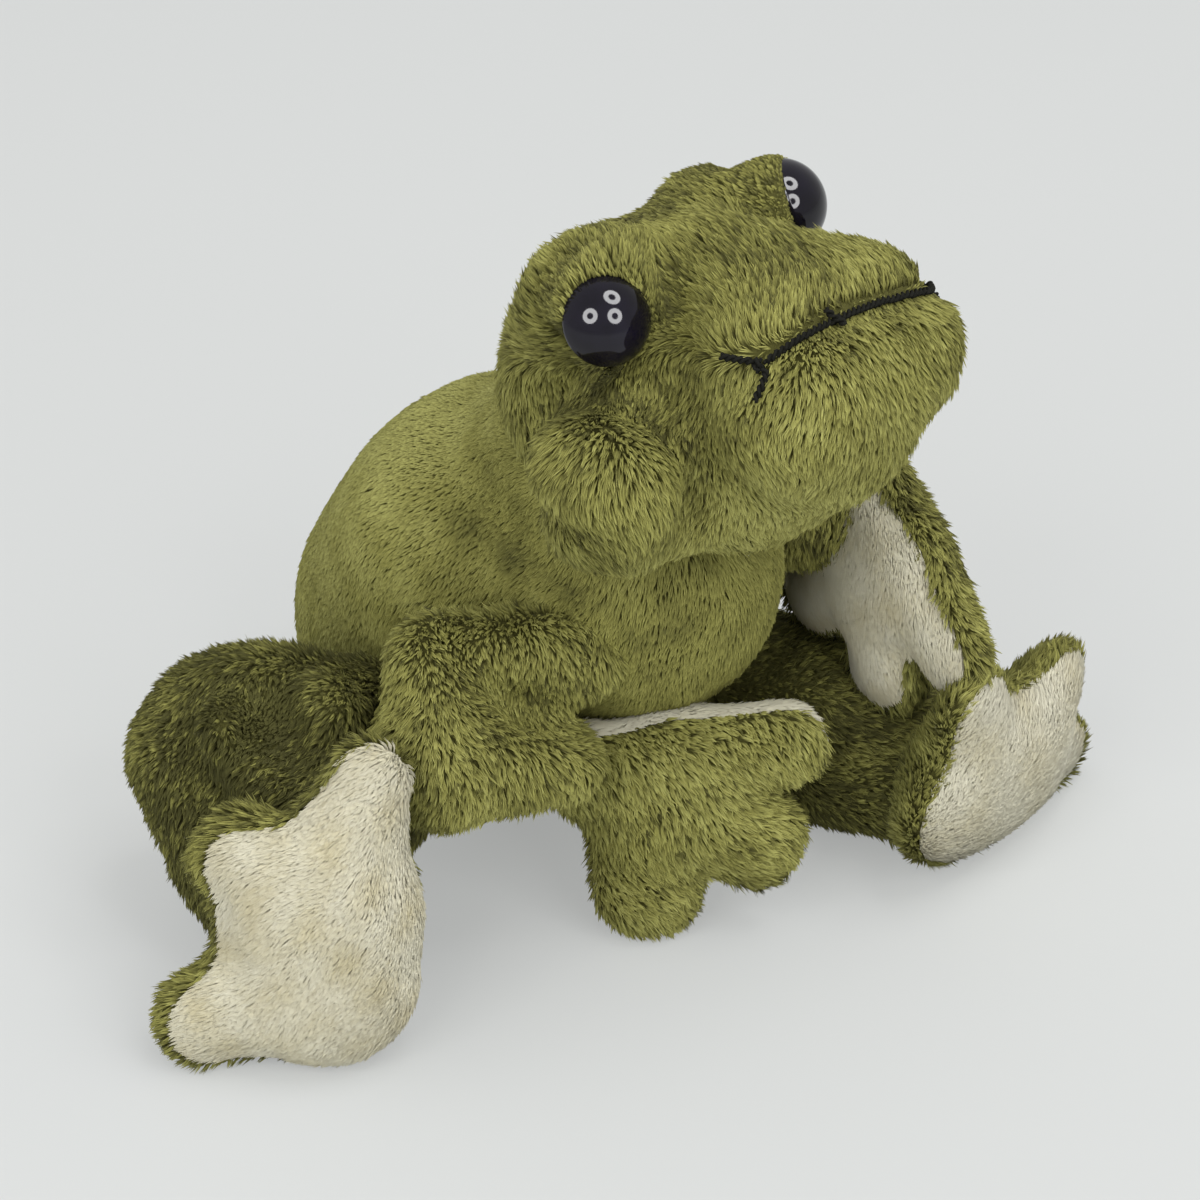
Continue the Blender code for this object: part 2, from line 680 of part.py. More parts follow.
# Limbs, each cut by what it lies against
for side in ("right", "left"):
    arm, hand, leg, foot = ARMS[side], HANDS[side], LEGS[side], FEET[side]
    shoulder, wrist, hip, ankle = SHOULDERS[side], WRISTS[side], HIPS[side], ANKLES[side]
    arm_empty = joint_empty(f"shoulder_{side}", shoulder)
    cutters = relief_cutters(f"arm_{side}_clear_of_body", BODY, shoulder)
    cover(f"arm_cover_{side}", arm, behind(wrist), cutters, "olive_plush", arm_empty)
    stuffing(f"arm_stuffing_{side}", arm, behind(wrist), cutters, arm_empty)

    hand_empty = joint_empty(f"wrist_{side}", wrist, arm_empty)
    palm_way = heading(hand, (0.0, 0.0, PALM_SIDE_SHARES[side]))
    seam = spot(hand, (0.0, 0.0, PALM_SIDE_SHARES[side] * PALM_SEAM_SHARE))
    back_planes = [FLOOR] + ahead(wrist) + [(seam, palm_way)]
    palm_planes = [FLOOR] + ahead(wrist) + [(seam + palm_way * SEAM_GAP, -palm_way)]
    if side == "right":
        under = relief_cutters("right_hand_clear_of_body", BODY, wrist)
    else:
        under = []
        for name, other in (("leg", leg), ("foot", foot)):
            under += relief_cutters(f"left_hand_off_{name}", other, wrist)
            under += relief_cutters(f"left_hand_as_{name}_opens", other, hip, other_moves=True)
        under += relief_cutters("left_hand_as_foot_tips", foot, ankle, other_moves=True)
    cover(f"hand_cover_{side}", hand, back_planes, under, "olive_plush", hand_empty)
    cover(f"palm_panel_{side}", hand, palm_planes, under, "cream_plush", hand_empty)
    stuffing(f"hand_stuffing_{side}", hand, ahead(wrist), under, hand_empty)

    leg_empty = joint_empty(f"hip_{side}", hip)
    cutters = relief_cutters(f"leg_{side}_clear_of_body", BODY, hip)
    if side == "right":
        cutters += relief_cutters(f"leg_{side}_clear_of_arm", arm, hip)
        cutters += relief_cutters(f"leg_{side}_as_arm_swings", arm, shoulder, other_moves=True)
    cover(f"leg_cover_{side}", leg, [FLOOR] + behind(ankle), cutters, "olive_plush", leg_empty)
    stuffing(f"leg_stuffing_{side}", leg, behind(ankle), cutters, leg_empty)

    foot_empty = joint_empty(f"ankle_{side}", ankle, leg_empty)
    sole_way = heading(foot, (0.0, 0.0, 1.0))
    seam = spot(foot, (0.0, 0.0, SOLE_SEAM_SHARE))
    top_planes = [FLOOR] + ahead(ankle) + [(seam, sole_way)]
    sole_planes = [FLOOR] + [(seam + sole_way * SEAM_GAP, -sole_way)]
    cover(f"foot_cover_{side}", foot, top_planes, [], "olive_plush", foot_empty)
    cover(f"sole_panel_{side}", foot, sole_planes, [], "cream_plush", foot_empty)
    stuffing(f"foot_stuffing_{side}", foot, ahead(ankle), [], foot_empty)
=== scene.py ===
"""The looks of the plush frog: sewn skins with their pile, safety eyes, mouth thread and a plain studio.

Metres, +Z up, in the frame of the CAD part. Every stuffed form is made from the lobes that shape
its CAD cover, with finer rays. It is dented along its seams and folds, and grows a pile of tufts.
"""

import math

import bmesh
import bpy
import numpy as np
from mathutils import Euler, Matrix, Vector
from mathutils.bvhtree import BVHTree
from mathutils.kdtree import KDTree


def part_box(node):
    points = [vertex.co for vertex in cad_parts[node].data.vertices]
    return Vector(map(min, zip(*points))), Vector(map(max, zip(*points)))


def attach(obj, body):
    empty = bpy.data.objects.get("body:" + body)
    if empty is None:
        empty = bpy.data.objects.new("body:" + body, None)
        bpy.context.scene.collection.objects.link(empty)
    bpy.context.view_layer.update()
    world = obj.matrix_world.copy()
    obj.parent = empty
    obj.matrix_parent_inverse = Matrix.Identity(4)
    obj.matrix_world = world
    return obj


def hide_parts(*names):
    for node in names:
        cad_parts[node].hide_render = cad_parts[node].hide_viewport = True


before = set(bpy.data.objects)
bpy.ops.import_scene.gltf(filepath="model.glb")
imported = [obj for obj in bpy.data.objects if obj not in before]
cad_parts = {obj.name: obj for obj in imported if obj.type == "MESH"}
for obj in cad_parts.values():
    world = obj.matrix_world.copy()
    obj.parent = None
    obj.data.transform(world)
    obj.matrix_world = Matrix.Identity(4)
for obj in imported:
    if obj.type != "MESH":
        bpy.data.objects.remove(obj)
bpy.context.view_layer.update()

# The photograph's camera, in its own 1200 pixel square, with the sensor in millimetres
PHOTO_SIDE = 1200
CAMERA_TARGET = Vector((-0.002, -0.0365, 0.050))
CAMERA_AZIMUTH = math.radians(-45.0)
CAMERA_ELEVATION = math.radians(33.0)
CAMERA_DISTANCE = 0.550
PIXELS_PER_METRE = 6000.0
SENSOR = 36.0
CLIP_START = 0.01
CLIP_END = 20.0

# Forms of the CAD part, metres
BODY_SIZE = (0.066, 0.096, 0.096)
HEAD_SIZE = (0.078, 0.075, 0.058)
ARM_LENGTH, ARM_HEIGHT, ARM_THICKNESS = 0.042, 0.038, 0.023
HAND_SIZE = (0.047, 0.044, 0.0155)
LEG_LENGTH, LEG_HEIGHT, LEG_THICKNESS = 0.054, 0.053, 0.034
FOOT_SIZE = (0.044, 0.055, 0.0165)
FLOOR_CUT = 0.0005

# Eyes and thread
EYE_DIAMETER = 0.0134
EYE_DOME = 0.0041
EYE_BASE = 0.0018
EYE_RIM = 0.0010
EYE_SINK = {"right": 0.0033, "left": 0.0026}
EYE_SHANK_DIAMETER = 0.0040
EYE_SHANK_LENGTH = 0.0080
THREAD_DIAMETER = 0.00125

# The skin lies inside the CAD surface, and its pile stands out to it
SKIN_INSET = 0.0014


# Camera

BACK = Vector((
    math.sin(CAMERA_AZIMUTH) * math.cos(CAMERA_ELEVATION),
    -math.cos(CAMERA_AZIMUTH) * math.cos(CAMERA_ELEVATION),
    math.sin(CAMERA_ELEVATION),
))
RIGHT = Vector((math.cos(CAMERA_AZIMUTH), math.sin(CAMERA_AZIMUTH), 0.0))
UP = BACK.cross(RIGHT)
CAMERA_PLACE = CAMERA_TARGET + BACK * CAMERA_DISTANCE


def add_object(name, data):
    obj = bpy.data.objects.new(name, data)
    bpy.context.scene.collection.objects.link(obj)
    return obj


def make_camera():
    made = bpy.data.cameras.new("photo_camera")
    made.sensor_width = SENSOR
    half_width = PHOTO_SIDE / 2 / PIXELS_PER_METRE
    made.lens = SENSOR / 2 * CAMERA_DISTANCE / half_width
    made.clip_start = CLIP_START
    made.clip_end = CLIP_END
    camera = add_object("photo_camera", made)
    camera.location = CAMERA_PLACE
    camera.rotation_mode = "QUATERNION"
    camera.rotation_quaternion = (-BACK).to_track_quat("-Z", "Y")
    bpy.context.scene.camera = camera


def pixel_ray(pixel):
    """From the camera through a pixel of the photograph."""
    x, y = pixel
    aside = (x - PHOTO_SIDE / 2) / PIXELS_PER_METRE
    above = (PHOTO_SIDE / 2 - y) / PIXELS_PER_METRE
    through = CAMERA_TARGET + RIGHT * aside + UP * above
    return (through - CAMERA_PLACE).normalized()


# Forms: the lobes of the CAD part

# Steps of a ray on its way out, how far past the lobes it looks, and halvings of its last step
REACH_STEPS = 90
REACH_SHARE = 1.35
HALVINGS = 18
TINY = 1e-12
SMALL = 1e-9


def unit(vectors):
    return vectors / np.maximum(np.linalg.norm(vectors, axis=-1, keepdims=True), TINY)


def eased(share):
    """A share held between 0 and 1, which leaves and meets them gently."""
    share = np.clip(share, 0.0, 1.0)
    return share * share * (3.0 - 2.0 * share)


def lobe_distance(points, lobe):
    """Distance to a lobe: a rounded cone from one end ball to the other."""
    (start, start_radius), (end, end_radius) = lobe
    start = np.array(start)
    along = np.array(end) - start
    length = max(along @ along, TINY)
    share = np.clip((points - start) @ along / length, 0.0, 1.0)
    middle = start + share[..., None] * along
    radius = start_radius + share * (end_radius - start_radius)
    return np.linalg.norm(points - middle, axis=-1) - radius


def union_distance(points, lobes, blend):
    total = sum(np.exp(-lobe_distance(points, lobe) / blend) for lobe in lobes)
    return -blend * np.log(total)


def reach(directions, form):
    """Where each ray from the form's middle leaves the union of its lobes for the last time."""
    middle = np.array(form["middle"])
    furthest = REACH_SHARE * max(
        np.linalg.norm(np.array(end) - middle) + radius
        for lobe in form["lobes"] for end, radius in lobe
    )
    steps = np.linspace(0.0, furthest, REACH_STEPS)
    points = middle + directions[:, None, :] * steps[None, :, None]
    inside = union_distance(points, form["lobes"], form["blend"]) < 0.0
    last = REACH_STEPS - 1 - np.argmax(inside[:, ::-1], axis=1)
    near = steps[last]
    far = steps[np.minimum(last + 1, REACH_STEPS - 1)]
    for _ in range(HALVINGS):
        half = (near + far) / 2
        points = middle + directions * half[:, None]
        within = union_distance(points, form["lobes"], form["blend"]) < 0.0
        near = np.where(within, half, near)
        far = np.where(within, far, half)
    return middle + directions * near[:, None]


def face_corners(made):
    return np.array([[vert.index for vert in face.verts] for face in made.faces])


def spans(corners):
    """Each triangle's normal, as long as twice its area."""
    return np.cross(corners[:, 1] - corners[:, 0], corners[:, 2] - corners[:, 0])


def ball(rays):
    """Directions all round, and the triangles between them."""
    made = bmesh.new()
    bmesh.ops.create_uvsphere(made, u_segments=rays[0], v_segments=rays[1], radius=1.0)
    bmesh.ops.triangulate(made, faces=made.faces)
    directions = np.array([vert.co.normalized() for vert in made.verts])
    tris = face_corners(made)
    made.free()
    return directions, tris


def make_form(size, lobes, blend, rays, middle=(0.0, 0.0, 0.0), turn=(0.0, 0.0, 0.0), spin=0.0):
    """A form: lobes in a unit shape, the size they are stretched to, and how it is turned."""
    form = {"size": size, "lobes": lobes, "blend": blend, "middle": middle}
    directions, _ = ball(rays)
    outline = reach(directions, form)
    form["low"] = outline.min(axis=0)
    form["high"] = outline.max(axis=0)
    facing = Euler([math.radians(angle) for angle in turn]).to_matrix()
    form["turn"] = (facing @ Matrix.Rotation(math.radians(spin), 3, "Z")).to_4x4()
    form["place"] = form["turn"]
    form["outline"] = stretch(outline, form)
    return form


def stretch(points, form):
    share = (points - form["low"]) / (form["high"] - form["low"]) - 0.5
    return share * np.array(form["size"])


def put_form(form, centre):
    form["place"] = Matrix.Translation(centre) @ form["turn"]


def stand_form(form, centre):
    """Put a form over a point of the floor, as low as lets FLOOR_CUT be cut off it."""
    turn = np.array(form["turn"].to_3x3())
    lowest = (form["outline"] @ turn.T)[:, 2].min()
    put_form(form, (centre[0], centre[1], -lowest - FLOOR_CUT))


def spot(form, shares):
    """A point of a form, in shares of half its size from its centre."""
    return form["place"] @ Vector(share * length / 2 for share, length in zip(shares, form["size"]))


def heading(form, direction):
    return (form["place"].to_3x3() @ Vector(direction)).normalized()


def in_world(points, matrix):
    matrix = np.array(matrix)
    return points @ matrix[:3, :3].T + matrix[:3, 3]


def depth_inside(points, form):
    """How deep points of the world lie inside a form, about, in metres; negative outside."""
    local = in_world(points, form["place"].inverted())
    unit = (local / np.array(form["size"]) + 0.5) * (form["high"] - form["low"]) + form["low"]
    scale = min(np.array(form["size"]) / (form["high"] - form["low"]))
    return -union_distance(unit, form["lobes"], form["blend"]) * scale


BODY = make_form(
    BODY_SIZE,
    (
        (((0.0, 0.55, 3.2), 3.15), ((0.0, -0.6, 4.7), 3.05)),
        (((0.0, -0.6, 4.7), 3.05), ((0.0, -3.4, 5.9), 2.5)),
        (((0.0, -1.5, 5.8), 2.3), ((0.0, -2.7, 7.5), 2.05)),
    ),
    0.35, (28, 18), middle=(0.0, -1.0, 4.6),
)
stand_form(BODY, (0.0, -0.387 * BODY_SIZE[1] / 2, 0.0))

HEAD = make_form(
    HEAD_SIZE,
    (
        (((0.0, 0.9, 0.3), 2.5), ((0.0, -0.8, 0.5), 2.4)),
        (((-1.1, -2.6, 0.45), 1.5), ((1.1, -2.6, 0.45), 1.5)),
        (((0.0, -0.8, -0.5), 1.8), ((0.0, -2.2, -0.3), 1.4)),
        (((-0.9, 0.1, 1.0), 1.6), ((-1.7, 0.05, 2.1), 1.25)),
        (((0.9, 0.1, 1.0), 1.6), ((1.7, 0.05, 2.1), 1.25)),
        (((-1.0, -0.2, -0.3), 1.6), ((-2.6, -0.15, -0.4), 1.35)),
        (((1.0, -0.2, -0.3), 1.6), ((2.6, -0.15, -0.4), 1.35)),
    ),
    0.2, (36, 24), middle=(0.0, -0.6, 0.3), turn=(-20.0, 0.0, 6.0),
)
put_form(HEAD, spot(BODY, (0.06, -0.80, 1.12)))

ARMS = {
    "right": make_form(
        (ARM_LENGTH, ARM_HEIGHT, ARM_THICKNESS),
        (
            (((1.55, 0.9, -0.6), 0.85), ((-0.6, 0.9, 0.0), 0.9)),
            (((-0.6, 0.9, 0.0), 0.9), ((-0.6, -0.55, 0.0), 1.1)),
            (((-0.6, -0.55, 0.0), 1.1), ((1.3, -0.75, -0.7), 0.72)),
        ),
        0.12, (20, 13), turn=(65.0, 0.0, -45.0),
    ),
    "left": make_form(
        (ARM_LENGTH, ARM_HEIGHT * 0.8, ARM_THICKNESS),
        (
            (((-1.6, -0.5, 0.0), 1.0), ((0.0, 0.3, 0.0), 1.05)),
            (((0.0, 0.3, 0.0), 1.05), ((1.5, 0.3, 0.0), 0.75)),
        ),
        0.2, (20, 13), turn=(90.0, 10.0, -70.0),
    ),
}
put_form(ARMS["right"], spot(BODY, (-1.05, -0.58, 0.02)))
put_form(ARMS["left"], spot(BODY, (0.98, -0.58, 0.22)))

HAND_LOBES = (
    (((-1.5, 0.55, 0.0), 0.8), ((-0.1, 0.2, 0.0), 1.3)),
    (((-0.1, 0.6, 0.0), 0.95), ((1.75, 1.05, 0.0), 0.7)),
    (((-0.1, 0.0, 0.0), 1.1), ((1.35, -0.7, 0.0), 0.82)),
    (((-0.4, -0.2, 0.0), 1.1), ((-0.55, -1.45, 0.0), 0.92)),
)
HANDS = {
    "right": make_form(
        HAND_SIZE, HAND_LOBES, 0.12, (34, 9), middle=(0.1, 0.1, 0.0), turn=(80.0, 0.0, -45.0),
    ),
    "left": make_form(
        HAND_SIZE, HAND_LOBES, 0.12, (34, 9), middle=(0.1, 0.1, 0.0), turn=(84.0, 0.0, -100.0),
        spin=-44.0,
    ),
}
stand_form(HANDS["right"], spot(ARMS["right"], (1.394, -1.11, -1.593)))
put_form(HANDS["left"], spot(ARMS["left"], (0.92, -0.481, 0.214)))

LEGS = {
    "right": make_form(
        (LEG_LENGTH, LEG_HEIGHT, LEG_THICKNESS * 1.3),
        (
            (((0.0, 0.6, -1.9), 1.2), ((-0.2, 0.4, -0.2), 1.75)),
            (((-0.2, 0.4, -0.2), 1.75), ((-0.6, -0.3, 0.2), 1.6)),
            (((-0.6, -0.3, 0.2), 1.6), ((0.2, -0.95, 0.6), 1.2)),
        ),
        0.12, (20, 14), middle=(0.0, 0.0, -0.3), turn=(90.0, 0.0, -93.0), spin=-26.5,
    ),
    "left": make_form(
        (LEG_LENGTH * 1.35, LEG_THICKNESS, LEG_THICKNESS),
        (
            (((-2.6, 0.3, -0.3), 1.6), ((0.4, 0.2, 0.0), 1.6)),
            (((0.4, 0.2, 0.0), 1.6), ((2.2, -0.1, 0.0), 1.35)),
        ),
        0.2, (20, 14), turn=(90.0, 0.0, -75.0),
    ),
}
stand_form(LEGS["right"], spot(BODY, (-1.564, 0.084, 0.0)))
stand_form(LEGS["left"], spot(BODY, (1.0, -0.673, 0.0)))

FOOT_LOBES = (
    (((0.1, 0.1, 0.0), 1.65), ((0.15, -0.65, 0.0), 1.5)),
    (((0.1, 0.3, 0.0), 1.4), ((1.0, 2.2, 0.0), 0.65)),
    (((0.0, 0.2, 0.0), 1.3), ((-1.05, 1.1, 0.0), 0.8)),
    (((0.0, -0.6, 0.0), 1.4), ((-1.7, -1.45, 0.0), 0.75)),
)
FEET = {
    "right": make_form(
        FOOT_SIZE, FOOT_LOBES, 0.12, (36, 9), middle=(0.0, -0.2, 0.0), turn=(75.0, 0.0, -45.0),
    ),
    "left": make_form(
        FOOT_SIZE, FOOT_LOBES, 0.12, (36, 9), middle=(0.0, -0.2, 0.0), turn=(100.0, 0.0, 4.0),
        spin=-96.0,
    ),
}
stand_form(FEET["right"], spot(LEGS["right"], (0.919, 0.383, 0.932)))
stand_form(FEET["left"], spot(LEGS["left"], (1.021, 0.288, -0.302)))

# The face, in the head's unit shape
EYE_SPOTS = {"right": (-2.37, -0.92, 2.06), "left": (2.14, -0.90, 2.06)}
EYE_FACING = (0.5, -0.85, 0.15)
MOUTH = (
    (-2.03, -3.3, 1.33), (-0.86, -3.67, 1.48), (0.23, -3.77, 1.37), (1.5, -3.83, 1.11),
    (2.05, -3.5, 1.0),
)
MOUTH_CORNERS = {"right": (-2.12, -3.25, 1.26), "left": (2.30, -3.25, 0.88)}
CORNER_STITCH = ((0.2, 0.55, 0.28), (0.0, 0.0, 0.0), (0.26, 0.07, -0.4))


def on_head(place):
    """The point of the head's CAD surface on the ray through a place of its unit shape."""
    direction = unit(np.array(place) - np.array(HEAD["middle"]))
    surface = reach(direction[None, :], HEAD)[0]
    return HEAD["place"] @ Vector(stretch(surface, HEAD))


# Materials

def colour(red, green, blue):
    """A colour of the photograph, in the linear values that shaders take."""
    def linear(value):
        value /= 255.0
        return value / 12.92 if value <= 0.04045 else ((value + 0.055) / 1.055) ** 2.4
    return (linear(red), linear(green), linear(blue), 1.0)


# Sockets of a Mix node for colours
MIX_SHARE, MIX_FIRST, MIX_SECOND, MIX_RESULT = 0, 6, 7, 2


def join(tree, source, target):
    """Link a socket to an input, or set the input to a number or a colour."""
    if isinstance(source, bpy.types.NodeSocket):
        tree.links.new(source, target)
    else:
        target.default_value = source


def maths(tree, operation, first, second):
    """A Math node on two numbers or sockets."""
    made = tree.nodes.new("ShaderNodeMath")
    made.operation = operation
    join(tree, first, made.inputs[0])
    join(tree, second, made.inputs[1])
    return made.outputs[0]


class Nodes:
    """A material's node tree, with short calls to add to it."""

    def __init__(self, name):
        self.material = bpy.data.materials.new(name)
        self.material.use_nodes = True
        self.tree = self.material.node_tree
        self.shader = self.tree.nodes["Principled BSDF"]

    def add(self, kind, **settings):
        node = self.tree.nodes.new(kind)
        for key, value in settings.items():
            setattr(node, key, value)
        return node

    def link(self, source, target):
        self.tree.links.new(source, target)

    def put(self, name, value):
        self.shader.inputs[name].default_value = value

    def noise(self, scale, detail=3.0):
        """Noise that lies still in the object's own space."""
        place = self.add("ShaderNodeTexCoord")
        made = self.add("ShaderNodeTexNoise")
        made.inputs["Scale"].default_value = scale
        made.inputs["Detail"].default_value = detail
        self.link(place.outputs["Object"], made.inputs["Vector"])
        return made.outputs["Fac"]

    def waves(self, scale, direction):
        """Bands across the object's own space."""
        place = self.add("ShaderNodeTexCoord")
        made = self.add("ShaderNodeTexWave", bands_direction=direction)
        made.inputs["Scale"].default_value = scale
        self.link(place.outputs["Object"], made.inputs["Vector"])
        return made.outputs["Fac"]

    def attribute(self, name):
        return self.add("ShaderNodeAttribute", attribute_name=name).outputs["Fac"]

    def stretch_range(self, value, low, high, to_low=0.0, to_high=1.0):
        made = self.add("ShaderNodeMapRange")
        made.inputs["From Min"].default_value = low
        made.inputs["From Max"].default_value = high
        made.inputs["To Min"].default_value = to_low
        made.inputs["To Max"].default_value = to_high
        self.link(value, made.inputs["Value"])
        return made.outputs["Result"]

    def paint(self, source):
        self.link(source, self.shader.inputs["Base Color"])

    def mix(self, share, first, second):
        """Mix two colours, each a colour or a socket, by a share, a number or a socket."""
        made = self.add("ShaderNodeMix", data_type="RGBA")
        for value, socket in ((share, MIX_SHARE), (first, MIX_FIRST), (second, MIX_SECOND)):
            join(self.tree, value, made.inputs[socket])
        return made.outputs[MIX_RESULT]

    def bump(self, height, strength, distance):
        made = self.add("ShaderNodeBump")
        made.inputs["Strength"].default_value = strength
        made.inputs["Distance"].default_value = distance
        self.link(height, made.inputs["Height"])
        self.link(made.outputs["Normal"], self.shader.inputs["Normal"])


def pile_material(name, root, dark, middle, light, tip, root_share, tip_shares, sheen):
    """Tufts: a tone from dark to light each, darker at the root by painted shade, lighter at the tip by
    painted sheen.
    """
    nodes = Nodes(name)
    # The tuft attribute holds random tone plus painted light and shade
    tone = nodes.attribute("tuft")
    lower = nodes.mix(nodes.stretch_range(tone, 0.0, 0.5), dark, middle)
    whole = nodes.mix(nodes.stretch_range(tone, 0.5, 1.0), lower, light)
    patches = nodes.stretch_range(nodes.noise(90.0), 0.35, 0.65, 0.0, 0.12)
    whole = nodes.mix(patches, whole, light)
    # Painted shade darkens the roots deep in the pile and a painted sheen lightens the tips
    along = nodes.stretch_range(nodes.attribute("along"), 0.15, 0.95)
    tipped = nodes.stretch_range(tone, 0.0, 1.0, *tip_shares)
    shaded = nodes.mix(along, nodes.mix(root_share, whole, root), nodes.mix(tipped, whole, tip))
    nodes.paint(shaded)
    nodes.put("Roughness", 0.75)
    nodes.put("Specular IOR Level", 0.2)
    nodes.put("Sheen Weight", sheen)
    nodes.put("Sheen Roughness", 0.4)
    nodes.put("Sheen Tint", tip)
    return nodes.material


def skin_material(name, dark, light):
    """The knitted backing between the tufts."""
    nodes = Nodes(name)
    nodes.paint(nodes.mix(nodes.noise(900.0, 2.0), dark, light))
    nodes.bump(nodes.noise(2600.0, 2.0), 0.6, 0.0003)
    nodes.put("Roughness", 0.95)
    return nodes.material


def eye_material():
    """Polished black plastic with a violet tinge and faint swirls in its depth."""
    nodes = Nodes("eye_plastic")
    swirls = nodes.stretch_range(nodes.noise(160.0), 0.3, 0.7)
    nodes.paint(nodes.mix(swirls, colour(10, 8, 15), colour(22, 19, 32)))
    nodes.put("Roughness", 0.07)
    nodes.put("Specular IOR Level", 0.36)
    return nodes.material


def thread_material():
    nodes = Nodes("black_thread")
    fibres = nodes.noise(5000.0, 2.0)
    nodes.paint(nodes.mix(fibres, colour(9, 9, 7), colour(30, 30, 23)))
    nodes.bump(fibres, 0.7, 0.0001)
    nodes.put("Roughness", 0.8)
    nodes.put("Specular IOR Level", 0.2)
    return nodes.material


def cotton_material():
    """Plain unbleached cotton, its threads crossing."""
    nodes = Nodes("bean_cotton")
    weave = nodes.mix(0.5, nodes.waves(700.0, "X"), nodes.waves(700.0, "Z"))
    nodes.paint(nodes.mix(weave, colour(196, 190, 174), colour(224, 219, 205)))
    nodes.bump(weave, 0.5, 0.0002)
    nodes.put("Roughness", 0.95)
    return nodes.material


def washer_material():
    """Milky moulded nylon."""
    nodes = Nodes("washer_nylon")
    cloudy = nodes.noise(420.0)
    nodes.paint(nodes.mix(cloudy, colour(221, 221, 215), colour(238, 238, 233)))
    nodes.bump(nodes.noise(2200.0), 0.15, 0.0001)
    nodes.put("Roughness", 0.38)
    return nodes.material


CREAM = colour(230, 227, 209)
MATERIALS = {
    # Root colours are painted shade deep in the pile, tip colours a painted sheen
    "olive_pile": pile_material(
        "olive_pile", colour(48, 46, 10), colour(40, 38, 8), colour(133, 130, 55), colour(168, 166, 90),
        colour(205, 203, 124), 0.80, (0.10, 0.60), 0.10,
    ),
    "cream_pile": pile_material(
        "cream_pile", colour(212, 206, 180), colour(190, 176, 124), colour(221, 216, 190),
        colour(228, 224, 203), CREAM, 0.25, (0.2, 0.5), 0.05,
    ),
    "olive_skin": skin_material("olive_skin", colour(70, 68, 24), colour(92, 90, 38)),
    "cream_skin": skin_material("cream_skin", colour(208, 202, 176), colour(218, 213, 188)),
    "eye": eye_material(),
    "thread": thread_material(),
    "cotton": cotton_material(),
    "washer": washer_material(),
}


# Meshes

def add_mesh(name, points, tris, material):
    mesh = bpy.data.meshes.new(name)
    mesh.vertices.add(len(points))
    mesh.vertices.foreach_set("co", points.astype(np.float32).ravel())
    mesh.loops.add(tris.size)
    mesh.loops.foreach_set("vertex_index", tris.astype(np.int32).ravel())
    mesh.polygons.add(len(tris))
    mesh.polygons.foreach_set("loop_start", np.arange(0, tris.size, 3, dtype=np.int32))
    mesh.update(calc_edges=True)
    mesh.shade_smooth()
    mesh.materials.append(MATERIALS[material])
    return add_object(name, mesh)


def read_mesh(obj):
    """An object's points and triangles, with its modifiers."""
    seen = obj.evaluated_get(bpy.context.evaluated_depsgraph_get())
    mesh = seen.to_mesh()
    mesh.calc_loop_triangles()
    points = np.array([vert.co for vert in mesh.vertices])
    tris = np.array([tri.vertices for tri in mesh.loop_triangles])
    seen.to_mesh_clear()
    return points, tris


def apply_modifiers(obj):
    fresh = bpy.data.meshes.new_from_object(obj.evaluated_get(bpy.context.evaluated_depsgraph_get()))
    obj.modifiers.clear()
    obj.data = fresh


# Skins

# The head's lobes run together a little more in its skin than in its CAD cover
HEAD_SKIN_BLEND = 0.23


def find_on(form, pixel):
    """The point of a form's skin that the photograph shows at a pixel, or the nearest to it."""
    ray = pixel_ray(pixel)
    place, _, _, _ = form["tree"].ray_cast(CAMERA_PLACE, ray)
    if place is None:
        middle = form["place"].translation
        beside = CAMERA_PLACE + ray * (middle - CAMERA_PLACE).dot(ray)
        place, _, _, _ = form["tree"].find_nearest(beside)
    return place


def shape_skin(form, rays):
    """The form's skin, before its folds: points of the world and triangles."""
    directions, form["tris"] = ball(rays)
    softer = dict(form, blend=HEAD_SKIN_BLEND) if form is HEAD else form
    points = stretch(reach(directions, softer), form)
    middle = stretch(np.array(form["middle"]), form)
    points = middle + (points - middle) * (1.0 - 2.0 * SKIN_INSET / np.array(form["size"]))
    form["points"] = in_world(points, form["place"])
    refresh(form)


def refresh(form):
    """The skin's normals and its search tree, after its points have moved."""
    points, tris = form["points"], form["tris"]
    across = spans(points[tris])
    normals = np.zeros_like(points)
    for corner in range(3):
        np.add.at(normals, tris[:, corner], across)
    form["normals"] = unit(normals)
    form["tree"] = BVHTree.FromPolygons(points.tolist(), tris.tolist())


def line_distance(points, line):
    """Distance from points to a line through places."""
    parts = [lobe_distance(points, ((start, 0.0), (end, 0.0))) for start, end in zip(line, line[1:])]
    return np.min(parts, axis=0)


def raise_between(form):
    """Raise the round places between a form's folds, each flat on top and steep at its edge."""
    for top, radius, height in form["rises"]:
        away = np.linalg.norm(form["points"] - top, axis=1) / radius
        form["points"] = form["points"] + form["normals"] * (height * np.exp(-away ** 4))[:, None]
    refresh(form)


def press_folds(form, share):
    """Press a form's folds into its skin, sharp at the bottom and round at the sides."""
    for line, width, depth in form["folds"]:
        press = share * depth * np.exp(-line_distance(form["points"], line) / width)
        form["points"] = form["points"] - form["normals"] * press[:, None]
    refresh(form)


def seen_line(form, pixels):
    """A line on a skin along pixels of the photograph."""
    return [tuple(find_on(form, pixel)) for pixel in pixels]


def mirrored(form, line):
    """A line on the other side of a form."""
    back = form["place"].inverted()
    flipped = []
    for place in line:
        x, y, z = back @ Vector(place)
        flipped.append(tuple(form["place"] @ Vector((-x, y, z))))
    return flipped


